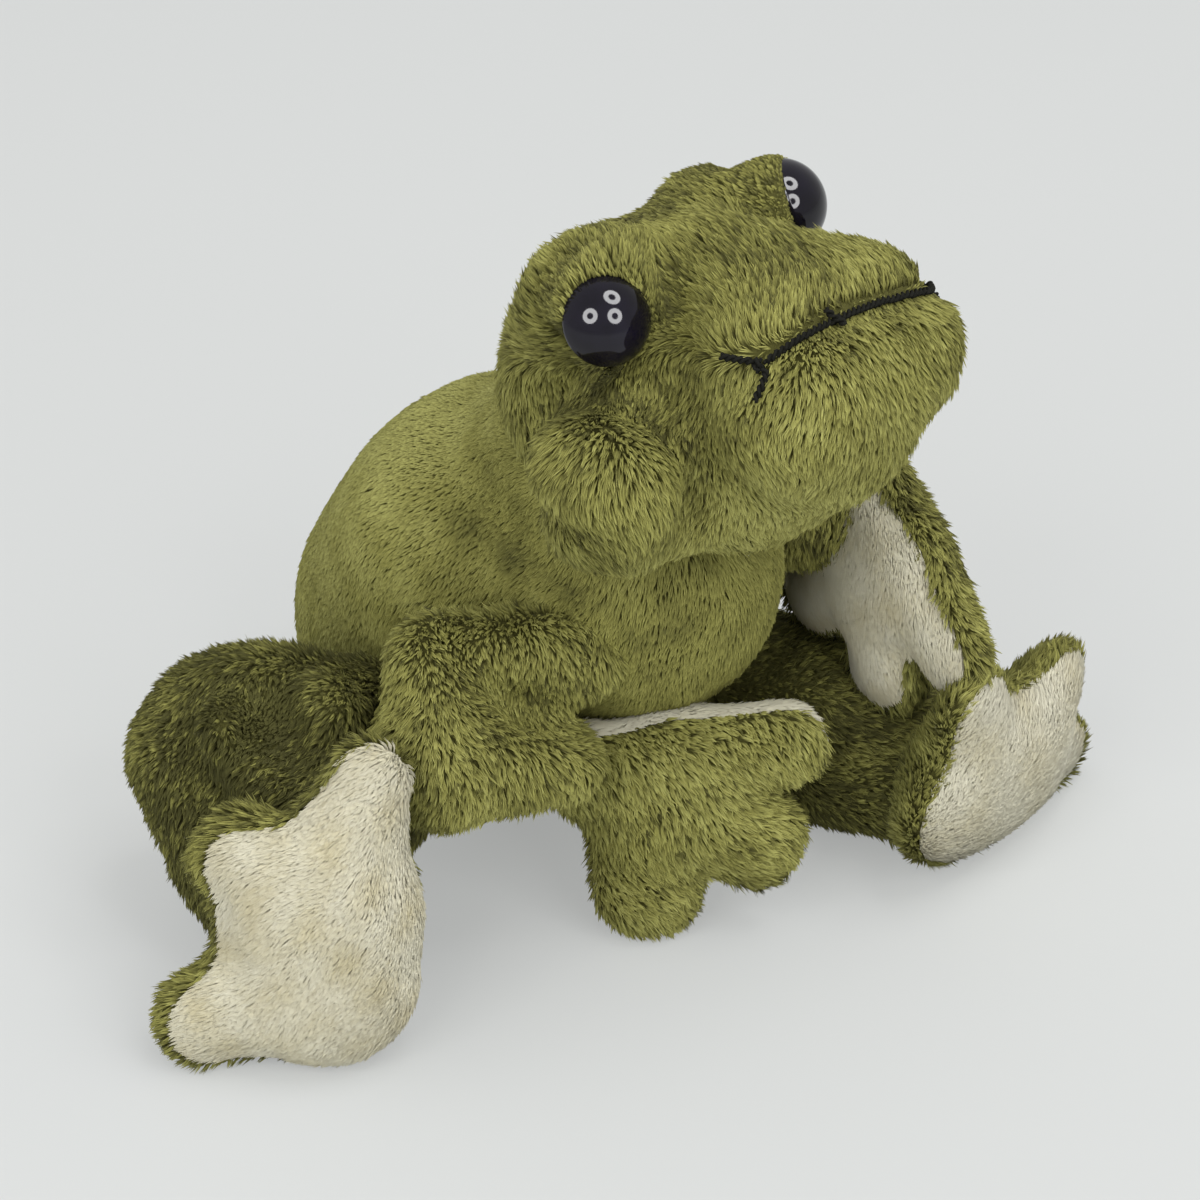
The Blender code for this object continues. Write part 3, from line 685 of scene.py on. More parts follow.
SKIN_RAYS = {"body": (110, 74), "head": (130, 86), "arm": (80, 54), "hand": (110, 44), "leg": (90, 60),
             "foot": (110, 44)}
FORMS = {"body": BODY, "head": HEAD}
for side in ("right", "left"):
    FORMS[f"arm_{side}"] = ARMS[side]
    FORMS[f"hand_{side}"] = HANDS[side]
    FORMS[f"leg_{side}"] = LEGS[side]
    FORMS[f"foot_{side}"] = FEET[side]
for name, form in FORMS.items():
    form["name"] = name
    form["kind"] = name.split("_")[0]
    form["folds"] = []
    form["rises"] = []
    shape_skin(form, SKIN_RAYS[form["kind"]])

# Folds seen in the photograph, each a line of its pixels, a width and a depth
UNDER_EYE = ([(528, 402), (548, 383), (578, 370), (604, 365), (640, 373)], 0.0032, 0.0080)
BESIDE_EYE = ([(671, 261), (676, 292), (673, 319), (661, 346), (648, 362)], 0.0028, 0.0060)
BEHIND_EYE = ([(590, 238), (560, 262), (548, 300), (548, 344), (556, 376)], 0.0036, 0.0036)
BEHIND_CHEEK = ([(526, 405), (522, 451), (541, 506), (581, 530)], 0.0036, 0.0036)
BEFORE_CHEEK = ([(651, 393), (694, 435), (713, 481), (700, 514)], 0.0034, 0.0066)
ABOVE_CHEEK = ([(741, 384), (719, 388), (676, 395), (651, 390)], 0.0036, 0.0030)
HEAD_FOLDS = (UNDER_EYE, BESIDE_EYE, BEHIND_EYE, BEHIND_CHEEK, BEFORE_CHEEK, ABOVE_CHEEK)
STITCH_MARK = ([(713, 502), (721, 508)], 0.0012, 0.0016)
OTHER_FOLDS = (
    (BODY, ([(470, 470), (500, 520), (545, 570)], 0.0044, 0.0030)),
    (BODY, ([(435, 430), (446, 500), (478, 560)], 0.0050, 0.0026)),
    (ARMS["right"], ([(448, 618), (464, 657), (500, 698), (532, 706)], 0.0050, 0.0052)),
    (ARMS["right"], ([(590, 640), (597, 690), (590, 730)], 0.0034, 0.0026)),
    (LEGS["right"], ([(250, 682), (266, 718), (292, 765)], 0.0056, 0.0100)),
    (LEGS["right"], ([(172, 742), (184, 778), (208, 808)], 0.0044, 0.0070)),
    (HEAD, STITCH_MARK),
)
for pixels, width, depth in HEAD_FOLDS:
    line = seen_line(HEAD, pixels)
    HEAD["folds"] += [(line, width, depth), (mirrored(HEAD, line), width, depth)]
# Round rises between the folds: a pixel, a radius and a height
HEAD_RISES = (((612, 458), 0.0150, 0.0034), ((610, 250), 0.0070, 0.0012))
OTHER_RISES = (
    (LEGS["right"], ((216, 716), 0.0070, 0.0034)),
    (LEGS["right"], ((318, 700), 0.0070, 0.0030)),
    (LEGS["right"], ((142, 745), 0.0090, 0.0012)),
)
for pixel, radius, height in HEAD_RISES:
    top = seen_line(HEAD, (pixel,))
    for place in (top[0], mirrored(HEAD, top)[0]):
        HEAD["rises"].append((np.array(place), radius, height))
for form, (pixel, radius, height) in OTHER_RISES:
    form["rises"].append((np.array(find_on(form, pixel)), radius, height))
for form, (pixels, width, depth) in OTHER_FOLDS:
    form["folds"].append((seen_line(form, pixels), width, depth))

# The eyes, each set flush into the skin
EYES = {}
for side, outward in (("right", -1.0), ("left", 1.0)):
    axis = heading(HEAD, (outward * EYE_FACING[0], EYE_FACING[1], EYE_FACING[2]))
    EYES[side] = (on_head(EYE_SPOTS[side]) - axis * EYE_SINK[side], axis)

# How far round an eye its seat reaches, in radii of the eye
SEAT_REACH = 1.7


def about_eye(points, seat, axis):
    """Heights of points along an eye's axis, and their distances from the axis."""
    away = points - np.array(seat)
    height = away @ np.array(axis)
    return height, np.linalg.norm(away - height[:, None] * np.array(axis), axis=1)


def seat_eyes():
    """Bring the head's skin level with the edge of each eye round it."""
    points = HEAD["points"]
    for seat, axis in EYES.values():
        height, across = about_eye(points, seat, axis)
        share = eased((SEAT_REACH - across / (EYE_DIAMETER / 2)) / (SEAT_REACH - 1.0))
        share = share * (height > -EYE_DIAMETER / 2)
        points = points + ((EYE_BASE - height) * share)[:, None] * np.array(axis)
    HEAD["points"] = points
    refresh(HEAD)


# The mouth, drawn into the skin by its thread: the width and the depth of the dent
MOUTH_PULL = (0.0024, 0.0024)


def on_skin(place):
    """The point of the head's skin on the ray through a place of its unit shape."""
    middle = HEAD["place"] @ Vector(stretch(np.array(HEAD["middle"]), HEAD))
    through = HEAD["place"] @ Vector(stretch(np.array(place), HEAD))
    found, _, _, _ = HEAD["tree"].ray_cast(middle, (through - middle).normalized())
    return found


def stitch_line(side):
    """The line of the short stitches at a corner of the mouth."""
    outward = -1.0 if side == "right" else 1.0
    corner = Vector(MOUTH_CORNERS[side])
    return [tuple(on_skin(corner + Vector((outward * x, y, z)))) for x, y, z in CORNER_STITCH]


MOUTH_LINE = [tuple(on_skin(place)) for place in MOUTH]
CORNER_LINES = {side: stitch_line(side) for side in MOUTH_CORNERS}
THREAD_LINES = [MOUTH_LINE, *CORNER_LINES.values()]
HEAD["folds"].append((MOUTH_LINE, *MOUTH_PULL))


# Filling: each skin is blown up as cloth, held along its folds

# Cell and most swell in metres for each kind of form, and the share of each fold pressed in again
CLOTH_SCALE = 10.0
CLOTH_PRESSURE = 4.0
CLOTH_FRAMES = 20
CLOTH_CELL = {
    "body": 0.0024, "head": 0.0020, "arm": 0.0018, "hand": 0.0015, "leg": 0.0020, "foot": 0.0015,
}
MOST_SWELL = {
    "body": 0.0012, "head": 0.0008, "arm": 0.0012, "hand": 0.0014, "leg": 0.0012, "foot": 0.0014,
}
HELD_WIDTH = 0.0024
FOLDS_AFTER = 0.35


def blow_up(obj, held):
    """Run the cloth under pressure. Returns how far each point moves."""
    group = obj.vertex_groups.new(name="held")
    for index, weight in enumerate(held):
        group.add([index], float(weight), "REPLACE")
    cloth = obj.modifiers.new("cloth", "CLOTH")
    cloth.settings.use_pressure = True
    cloth.settings.uniform_pressure_force = CLOTH_PRESSURE
    cloth.settings.vertex_group_mass = group.name
    cloth.settings.effector_weights.gravity = 0.0
    cloth.point_cache.frame_start = 1
    cloth.point_cache.frame_end = CLOTH_FRAMES
    start = np.array([vert.co for vert in obj.data.vertices])
    for frame_number in range(1, CLOTH_FRAMES + 1):
        bpy.context.scene.frame_set(frame_number)
    end, _ = read_mesh(obj)
    obj.modifiers.clear()
    bpy.context.scene.frame_set(1)
    return end - start


def fill(points, tris, cell, most, held_at):
    """Remesh a skin evenly, fill it, and subdivide it once. Returns points and triangles."""
    obj = add_mesh("filling", points * CLOTH_SCALE, tris, "olive_skin")
    remesh = obj.modifiers.new("remesh", "REMESH")
    remesh.mode = "VOXEL"
    remesh.voxel_size = cell * CLOTH_SCALE
    apply_modifiers(obj)
    start = np.array([vert.co for vert in obj.data.vertices])
    move = blow_up(obj, held_at(start / CLOTH_SCALE))
    far = np.linalg.norm(move, axis=1)
    capped = most * CLOTH_SCALE * np.tanh(far / (most * CLOTH_SCALE))
    start += move * (capped / np.maximum(far, SMALL))[:, None]
    obj.data.vertices.foreach_set("co", start.astype(np.float32).ravel())
    smoother = obj.modifiers.new("smoother", "SUBSURF")
    smoother.levels = 1
    points, tris = read_mesh(obj)
    bpy.data.objects.remove(obj)
    return points / CLOTH_SCALE, tris


def fill_form(form):
    def held_at(points):
        held = np.zeros(len(points))
        for line, _, _ in form["folds"]:
            held = np.maximum(held, np.exp(-line_distance(points, line) / HELD_WIDTH))
        return held

    raise_between(form)
    press_folds(form, 1.0)
    form["points"], form["tris"] = fill(
        form["points"], form["tris"], CLOTH_CELL[form["kind"]], MOST_SWELL[form["kind"]], held_at,
    )
    refresh(form)
    if form is HEAD:
        seat_eyes()
    press_folds(form, FOLDS_AFTER)
    form["points"][:, 2] = np.maximum(form["points"][:, 2], 0.0)
    refresh(form)


for form in FORMS.values():
    fill_form(form)


# Pile

# A tuft is a spindle of five points: its root, a ring of three and its tip
TUFT_SINK = 0.0004
TUFT_POINTS = 5
TUFT_TRIS = np.array([(0, 2, 1), (0, 3, 2), (0, 1, 3), (1, 2, 4), (2, 3, 4), (3, 1, 4)])
TUFT_UV = np.array([(0.5, 0.1), (0.1, 0.5), (0.5, 0.5), (0.9, 0.5), (0.5, 0.9)])
TUFT_RING = 0.55
TUFT_ALONG = np.array([0.0, TUFT_RING, TUFT_RING, TUFT_RING, 1.0])
TUFT_FLOOR = 0.0001
MOST_TUFTS = 32000
LOCK_TUFTS = 4
BURIED = 0.0012

# How tufts differ: by ripples of a size in metres, and each tuft or lock by itself
RIPPLE_WAVES = 7
RIPPLE_STRETCH = (1.2, 2.6)
SWIRL_SIZE, LENGTH_SIZE, LEAN_SIZE, TONE_SIZE = 0.010, 0.006, 0.009, 0.005
LENGTH_RIPPLE, LEAN_RIPPLE, TONE_RIPPLE = 0.10, 0.14, 0.10
LENGTH_SPREAD, LEAN_SPREAD, STRAY_SPREAD, TONE_SPREAD = 0.14, 0.12, 0.5, 0.6
LENGTH_RANGE = (0.6, 1.4)
LEAN_RANGE = (0.15, 1.38)
ROOT_LEAN, TIP_LEAN = 0.85, 1.12
THINNEST, THICKNESS_SPREAD = 0.75, 0.5
MIDDLE_TONE = 0.5


def ripple(points, size, seed):
    """A smooth random value, mostly from -1 to 1, that changes over about a size in metres."""
    rng = np.random.default_rng(seed)
    total = np.zeros(len(points))
    for _ in range(RIPPLE_WAVES):
        wave = rng.normal(size=3)
        wave = wave / np.linalg.norm(wave) * 2.0 * math.pi / (size * rng.uniform(*RIPPLE_STRETCH))
        total += np.sin(points @ wave + rng.uniform(0.0, 2.0 * math.pi))
    return total / math.sqrt(RIPPLE_WAVES)


def scatter(form, density, rng):
    """Roots spread over a skin, with their normals."""
    corners = form["points"][form["tris"]]
    normals = form["normals"][form["tris"]]
    summed = np.cumsum(np.linalg.norm(spans(corners), axis=1) / 2)
    count = int(summed[-1] * density)
    picks = (np.arange(count) + rng.random(count)) / count * summed[-1]
    chosen = np.minimum(np.searchsorted(summed, picks), len(summed) - 1)
    u, v = rng.random((2, count))
    over = u + v > 1.0
    u, v = np.where(over, 1.0 - u, u), np.where(over, 1.0 - v, v)
    weights = np.stack([1.0 - u - v, u, v], axis=1)[:, :, None]
    return (corners[chosen] * weights).sum(axis=1), unit((normals[chosen] * weights).sum(axis=1))


def lean_over(normals, lying, lean):
    return normals * np.cos(lean)[:, None] + lying * np.sin(lean)[:, None]


def leaders_of(roots):
    """The nearest leader of each tuft: the tufts with the same leader are one lock."""
    leaders = range(0, len(roots), LOCK_TUFTS)
    tree = KDTree(len(leaders))
    for leader in leaders:
        tree.insert(roots[leader], leader)
    tree.balance()
    return np.array([tree.find(root)[1] for root in roots.tolist()])


def pick_roots(form, keep, density, rng):
    """The roots that keep allows, in a mixed order, with their normals."""
    roots, normals = scatter(form, density, rng)
    allowed = keep(roots)
    roots, normals = roots[allowed], normals[allowed]
    order = np.argsort(rng.random(len(roots)))
    return roots[order], normals[order]


def lying_ways(form, roots, normals, strays, pile, seed):
    """The way each tuft lies along the skin: the nap of its form, swirling and straying."""
    lying = form["nap"](roots)
    lying = unit(lying - (lying * normals).sum(axis=1, keepdims=True) * normals)
    swirl = pile["swirl"] * ripple(roots, SWIRL_SIZE, seed + 1) + pile["stray"] * strays
    return lying * np.cos(swirl)[:, None] + np.cross(normals, lying) * np.sin(swirl)[:, None]


def tuft_lengths(form, roots, spread, pile, seed):
    length = 1.0 + LENGTH_RIPPLE * ripple(roots, LENGTH_SIZE, seed + 2) + LENGTH_SPREAD * spread
    return pile["length"] * np.clip(length, *LENGTH_RANGE) * trimmed(form, roots)


def tuft_leans(roots, spread, pile, seed):
    """Each tuft's lean away from its normal, in radians."""
    change = LEAN_RIPPLE * ripple(roots, LEAN_SIZE, seed + 3) + LEAN_SPREAD * spread
    return np.clip(pile["lean"] + pile["unrest"] * change, *LEAN_RANGE)


# Each tuft's random tone, with the painted light and shade of its form, folds and patches added
def tuft_tones_with_painted_light(form, roots, spread, pile, seed):
    tone = MIDDLE_TONE + pile["mottle"] * spread + TONE_RIPPLE * ripple(roots, TONE_SIZE, seed + 4)
    return np.clip(tone + painted_tone_change(form, roots), 0.0, 1.0)


def spindles(base, middle, tip, normals, thickness, rng):
    """The points of each tuft, and the way that each of them faces."""
    thick = thickness * (THINNEST + THICKNESS_SPREAD * rng.random(len(base))) / 2
    wide = unit(np.cross(tip - base, normals) + SMALL)
    flat = unit(np.cross(tip - base, wide))
    start = rng.random(len(base)) * 2.0 * math.pi
    rings, outs = [base], [np.zeros_like(base)]
    for corner in range(3):
        turn = start + corner * 2.0 * math.pi / 3.0
        out = wide * np.cos(turn)[:, None] + flat * np.sin(turn)[:, None]
        rings.append(middle + out * thick[:, None])
        outs.append(out)
    points = np.stack([*rings, tip], axis=1)
    points[:, :, 2] = np.maximum(points[:, :, 2], TUFT_FLOOR)
    return points, np.stack([*outs, np.zeros_like(tip)], axis=1)


def grow(form, name, keep, pile, seed):
    """Grow a pile on the part of a skin that keep allows. Returns its objects."""
    rng = np.random.default_rng(seed)
    roots, normals = pick_roots(form, keep, pile["density"], rng)
    count = len(roots)
    leader = leaders_of(roots)
    lock_turn, lock_lean, lock_tone = rng.normal(size=(3, count))[:, leader]
    strays = lock_turn + STRAY_SPREAD * rng.normal(size=count)
    lying = lying_ways(form, roots, normals, strays, pile, seed)
    length = tuft_lengths(form, roots, rng.normal(size=count), pile, seed)
    lean = tuft_leans(roots, lock_lean, pile, seed)

    base = roots - normals * TUFT_SINK
    middle = roots + lean_over(normals, lying, lean * ROOT_LEAN) * (TUFT_RING * length)[:, None]
    tip = middle + lean_over(normals, lying, lean * TIP_LEAN) * ((1.0 - TUFT_RING) * length)[:, None]
    pulled = (tip[leader] - tip) * pile["clumping"]
    tip += pulled
    middle += pulled / 2
    points, outs = spindles(base, middle, tip, normals, pile["thickness"], rng)
    shade = unit(normals[:, None, :] * pile["softness"] + outs * (1.0 - pile["softness"]))
    tone = tuft_tones_with_painted_light(form, roots, lock_tone + TONE_SPREAD * rng.normal(size=count), pile, seed)
    parts = np.array_split(np.arange(count), math.ceil(count / MOST_TUFTS))
    return [
        tuft_mesh(f"{name}_{number + 1}", points[part], shade[part], tone[part], pile["material"])
        for number, part in enumerate(parts)
    ]


def tuft_mesh(name, points, shade, tone, material):
    """One mesh of many tufts, each a closed spindle with its own cell in the map for baking."""
    count = len(points)
    tris = (TUFT_TRIS + TUFT_POINTS * np.arange(count)[:, None, None]).reshape(-1, 3)
    obj = add_mesh(name, points.reshape(-1, 3), tris, material)
    mesh = obj.data
    for label, values in (("along", np.tile(TUFT_ALONG, count)), ("tuft", np.repeat(tone, TUFT_POINTS))):
        attribute = mesh.attributes.new(label, "FLOAT", "POINT")
        attribute.data.foreach_set("value", values.astype(np.float32))
    columns = math.ceil(math.sqrt(count))
    cells = np.stack([np.arange(count) % columns, np.arange(count) // columns], axis=1)
    uv = ((cells[:, None, :] + TUFT_UV) / columns).reshape(-1, 2)[tris.ravel()]
    layer = mesh.uv_layers.new(name="OFBake")
    layer.data.foreach_set("uv", uv.astype(np.float32).ravel())
    mesh.normals_split_custom_set_from_vertices(shade.reshape(-1, 3).tolist())
    return obj


# Which way each form's pile lies

# On the head it parts at the mouth, and the parting widens behind it
PARTING_WIDTH = 0.0012
PARTING_GROWTH = 0.008
FACE_SHARE = 0.25
UP_THE_FACE = np.array([0.0, 0.35, 1.0])
OVER_THE_HEAD = np.array([0.0, 1.0, 0.30])
CHIN_HALF_WIDTH = 0.020
CHIN_SPREAD, CHIN_ASIDE, CHIN_FORWARD = 0.30, -0.10, -0.45
# On the body it runs over the top and down, spreading to the sides
BODY_SPREAD, BODY_BACKWARD = 0.25, 0.35
BODY_TOP = (0.020, 0.045)
OVER_THE_NECK = np.array([0.0, 1.0, -0.4])
# Elsewhere it lies one way all over, given in the world or in the form itself
WORLD_NAPS = {
    "arm_right": (-0.2, -0.1, -1.0),
    "arm_left": (0.2, -0.1, -1.0),
    "leg_right": (-0.7, -0.1, -0.5),
}
FORM_NAPS = {
    "leg_left": (1.0, 0.0, 0.0),
    "hand_right": (0.7, -0.7, 0.0),
    "hand_left": (0.9, -0.3, 0.0),
    "foot_right": (-0.8, -0.6, 0.0),
    "foot_left": (-1.0, 0.15, 0.0),
}


def blend_share(values, low, high):
    return eased((values - low) / (high - low))[:, None]


def steady(direction):
    """A nap with one direction all over."""
    return lambda roots: np.tile(unit(np.array(direction, float)), (len(roots), 1))


def head_nap(roots):
    """Up and back over the head from the mouth, and down and back below it."""
    local = in_world(roots, HEAD["place"].inverted())
    mouth_height = np.interp(local[:, 0], MOUTH_LOCAL[:, 0], MOUTH_LOCAL[:, 2])
    behind = np.clip((local[:, 1] - MOUTH_LOCAL[:, 1].mean()) / HEAD_SIZE[1], 0.0, 1.0)
    width = PARTING_WIDTH + PARTING_GROWTH * behind
    above = blend_share((local[:, 2] - mouth_height) / width, -1.0, 1.0)
    past_face = blend_share(behind, 0.0, FACE_SHARE)
    upper = UP_THE_FACE * (1.0 - past_face) + OVER_THE_HEAD * past_face
    aside = CHIN_SPREAD * np.clip(local[:, 0] / CHIN_HALF_WIDTH, -1.0, 1.0) + CHIN_ASIDE
    lower = np.stack([aside, np.full(len(roots), CHIN_FORWARD), -np.ones(len(roots))], axis=1)
    return unit(upper * above + lower * (1.0 - above))


def body_nap(roots):
    """From the neck over the back and down the sides and the belly."""
    local = in_world(roots, BODY["place"].inverted())
    spread = BODY_SPREAD * local[:, 0] / BODY_SIZE[0]
    down = np.stack([spread, np.full(len(roots), BODY_BACKWARD), -np.ones(len(roots))], axis=1)
    top = blend_share(local[:, 2], *BODY_TOP)
    return unit(down * (1.0 - top) + OVER_THE_NECK * top)


MOUTH_LOCAL = in_world(np.array(MOUTH_LINE), HEAD["place"].inverted())
HEAD["nap"] = head_nap
BODY["nap"] = body_nap
for name, direction in WORLD_NAPS.items():
    FORMS[name]["nap"] = steady(direction)
for name, direction in FORM_NAPS.items():
    FORMS[name]["nap"] = steady(tuple(heading(FORMS[name], direction)))

# Painted light and shade on each form: how much lighter or darker its pile is than the cloth's middle
# tone
FORM_LIGHT_AND_SHADE = {
    "body": 0.0, "head": 0.0,
    "arm_right": 0.06, "arm_left": -0.15,
    "hand_right": 0.06, "hand_left": -0.12,
    "leg_right": -0.42, "leg_left": -0.40,
    "foot_right": -0.15, "foot_left": -0.05,
}
# Patches of painted light and shade, where the pile is also pressed short: a pixel, a radius and a
# change of tone
LIGHT_AND_SHADE_PATCHES = (
    (HEAD, (785, 265), 0.0095, -0.34),
    (HEAD, (690, 190), 0.0130, -0.18),
    (HEAD, (590, 408), 0.0060, -0.36),
    (HEAD, (636, 228), 0.0070, -0.22),
    (HEAD, (664, 312), 0.0034, -0.25),
    (HEAD, (748, 160), 0.0070, -0.10),
    (HEAD, (870, 225), 0.0100, 0.30),
    (HEAD, (830, 440), 0.0150, 0.10),
    (HEAD, (770, 510), 0.0130, 0.34),
    (BODY, (430, 435), 0.0140, 0.56),
    (BODY, (350, 560), 0.0200, 0.22),
    (BODY, (650, 640), 0.0100, -0.10),
    (ARMS["right"], (560, 600), 0.0050, -0.06),
    (LEGS["right"], (140, 740), 0.0100, 0.16),
    (LEGS["right"], (270, 722), 0.0056, -0.30),
    (LEGS["right"], (216, 700), 0.0060, 0.12),
    (LEGS["right"], (350, 660), 0.0080, -0.12),
    (LEGS["left"], (760, 670), 0.0090, -0.20),
)
# Each form's painted light and shade, and its patches of painted light and shade
for name, form in FORMS.items():
    form["tone"] = FORM_LIGHT_AND_SHADE[name]
    form["patches"] = []
for form, pixel, radius, change in LIGHT_AND_SHADE_PATCHES:
    form["patches"].append((np.array(find_on(form, pixel)), radius, change))

# A fold shortens the pile and darkens it with painted shade, the more, the deeper it is, up to this
# depth
DEEP_FOLD = 0.006
PAINTED_FOLD_SHADE = 0.50


def fold_effect(most, roots, line, width, depth):
    """What a fold does to the pile at roots, up to the most at the bottom of a deep one."""
    return most * min(depth / DEEP_FOLD, 1.0) * np.exp(-line_distance(roots, line) / width)


def painted_tone_change(form, roots):
    """The painted light and shade at roots: each form's own, painted shade in the folds, and the
    patches.
    """
    change = np.full(len(roots), form["tone"])
    for line, width, depth in form["folds"]:
        # Painted shade in each fold
        change -= fold_effect(PAINTED_FOLD_SHADE, roots, line, width, depth)
    for middle, radius, painted_patch in form["patches"]:
        away = np.linalg.norm(roots - middle, axis=1) / radius
        change += painted_patch * np.exp(-away * away)
    return change


# The shares of their length that tufts lose in folds and patches and beside threads and eyes
FOLD_TRIM = 0.78
THREAD_TRIM = 0.60
EYE_TRIM = {"right": 0.30, "left": 0.80}
EYE_TRIM_WIDTH = 0.0024
PATCH_TRIM = 0.25
TRIM_WIDTH = 0.0013


def from_eye(points, seat, axis):
    """Distance of points from the edge of an eye, across its axis."""
    height, across = about_eye(points, seat, axis)
    return np.where(height > -EYE_DIAMETER / 2, across - EYE_DIAMETER / 2, np.inf)


def trimmed(form, roots):
    """The share of its length that each tuft keeps."""
    kept = np.ones(len(roots))
    for line, width, depth in form["folds"]:
        kept *= 1.0 - fold_effect(FOLD_TRIM, roots, line, width, depth)
    if form is HEAD:
        for side, eye in EYES.items():
            beside = np.maximum(from_eye(roots, *eye), 0.0) / EYE_TRIM_WIDTH
            kept *= 1.0 - EYE_TRIM[side] * np.exp(-beside * beside)
    for middle, radius, _ in form["patches"]:
        away = np.linalg.norm(roots - middle, axis=1) / radius
        kept *= 1.0 - PATCH_TRIM * np.exp(-away ** 2)
    for line in THREAD_LINES if form is HEAD else ():
        away = line_distance(roots, line) / TRIM_WIDTH
        kept *= 1.0 - THREAD_TRIM * np.exp(-away * away)
    return kept


# Each pile's tufts to the square metre, their length and thickness, their lean from upright and
# its unrest, how much they shade as the skin does, and how they swirl, stray, clump and vary in tone
BODY_PILE = {
    "material": "olive_pile", "density": 11.0e6, "length": 0.0025, "thickness": 0.00028,
    "lean": 1.27, "unrest": 0.4, "softness": 0.92,
    "swirl": 0.16, "stray": 0.10, "clumping": 0.15, "mottle": 0.05,
}
HEAD_PILE = {
    "material": "olive_pile", "density": 12.0e6, "length": 0.0036, "thickness": 0.00026,
    "lean": 1.20, "unrest": 0.8, "softness": 0.66,
    "swirl": 0.34, "stray": 0.16, "clumping": 0.48, "mottle": 0.16,
}
LIMB_PILE = {
    "material": "olive_pile", "density": 12.0e6, "length": 0.0031, "thickness": 0.00027,
    "lean": 1.06, "unrest": 1.3, "softness": 0.60,
    "swirl": 0.34, "stray": 0.24, "clumping": 0.50, "mottle": 0.18,
}
CREAM_PILE = {
    "material": "cream_pile", "density": 16.0e6, "length": 0.0021, "thickness": 0.00026,
    "lean": 1.15, "unrest": 0.2, "softness": 1.0,
    "swirl": 0.20, "stray": 0.10, "clumping": 0.0, "mottle": 0.04,
}

# How far under an eye's edge the pile still grows, and how low over the floor
EYE_COVER = 0.0006
PILE_FLOOR = 0.0004


def clear_of_eyes(roots):
    return np.min([from_eye(roots, *eye) for eye in EYES.values()], axis=0) > -EYE_COVER


def is_buried(root, form):
    """Whether a root lies deep inside a form's filled skin."""
    place, normal, _, _ = form["tree"].find_nearest(root)
    return (place - Vector(root)).dot(normal) > BURIED


def open_skin(form):
    """Which roots of a form grow: those clear of the floor, of the other forms and of the eyes."""
    def keep(roots):
        kept = roots[:, 2] > PILE_FLOOR
        for other in FORMS.values():
            if other is not form:
                near = np.flatnonzero(kept & (depth_inside(roots, other) > BURIED / 2))
                kept[near] = [not is_buried(root, other) for root in roots[near].tolist()]
        return kept & clear_of_eyes(roots) if form is HEAD else kept
    return keep


# Seams between green and cream panels: a plane at a share of half the form's thickness, leaning
# by further shares of it at the form's own +x and +y edges. Cream lies on the side of its sense.
SEAMS = {
    "hand_right": {"sense": -1.0, "at": (-0.26, -0.16, 0.55)},
    "hand_left": {"sense": 1.0, "at": (0.30, 0.0, 0.0)},
    "foot_right": {"sense": 1.0, "at": (0.10, -0.34, 0.15)},
    "foot_left": {"sense": 1.0, "at": (0.20, 0.0, 0.0)},
}


def past_seam(form, points):
    """How far points lie past the seam towards the cream side."""
    seam = SEAMS[form["name"]]
    middle, lean_x, lean_y = seam["at"]
    shares = in_world(points, form["place"].inverted()) / (np.array(form["size"]) / 2)
    return (shares[:, 2] - middle - lean_x * shares[:, 0] - lean_y * shares[:, 1]) * seam["sense"]


def on_panel(form, sense):
    """As open_skin, on the cream side of the seam, or for a negative sense on the green side."""
    base = open_skin(form)
    return lambda roots: base(roots) & (past_seam(form, roots) * sense > 0.0)


def half_skin(form, sense):
    """One panel of a skin, cut along the seam and closed there: points and triangles."""
    seam = SEAMS[form["name"]]
    middle, lean_x, lean_y = seam["at"]
    half_x, half_y, half_z = (length / 2 for length in form["size"])
    across = Vector((-lean_x / half_x, -lean_y / half_y, 1.0 / half_z)) * seam["sense"] * sense
    made = bmesh.new()
    for point in form["points"]:
        made.verts.new(point)
    made.verts.ensure_lookup_table()
    for tri in form["tris"]:
        made.faces.new([made.verts[index] for index in tri])
    bmesh.ops.bisect_plane(
        made, geom=made.verts[:] + made.edges[:] + made.faces[:],
        plane_co=spot(form, (0.0, 0.0, middle)), plane_no=-heading(form, across), clear_outer=True,
    )
    bmesh.ops.holes_fill(made, edges=[edge for edge in made.edges if edge.is_boundary], sides=0)
    bmesh.ops.triangulate(made, faces=made.faces)
    bmesh.ops.recalc_face_normals(made, faces=made.faces)
    made.verts.ensure_lookup_table()
    made.verts.index_update()
    points, tris = np.array([vert.co for vert in made.verts]), face_corners(made)
    made.free()
    return points, tris


SEEDS_APART = 20
PANEL_SEED = 10


def stand_for(piece, body, slot, *nodes):
    """Put a piece on a body in place of CAD nodes, which are hidden; the slot is not used."""
    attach(piece, body)
    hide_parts(*nodes)


def dress(name, body, mesh, cloth, nodes, piles):
    """Add a skin that stands for CAD nodes, and its pile, to a body."""
    skin = add_mesh(name, *mesh, f"{cloth}_skin")
    stand_for(skin, body, f"{cloth}_plush", *nodes)
    for pile in piles:
        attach(pile, body)


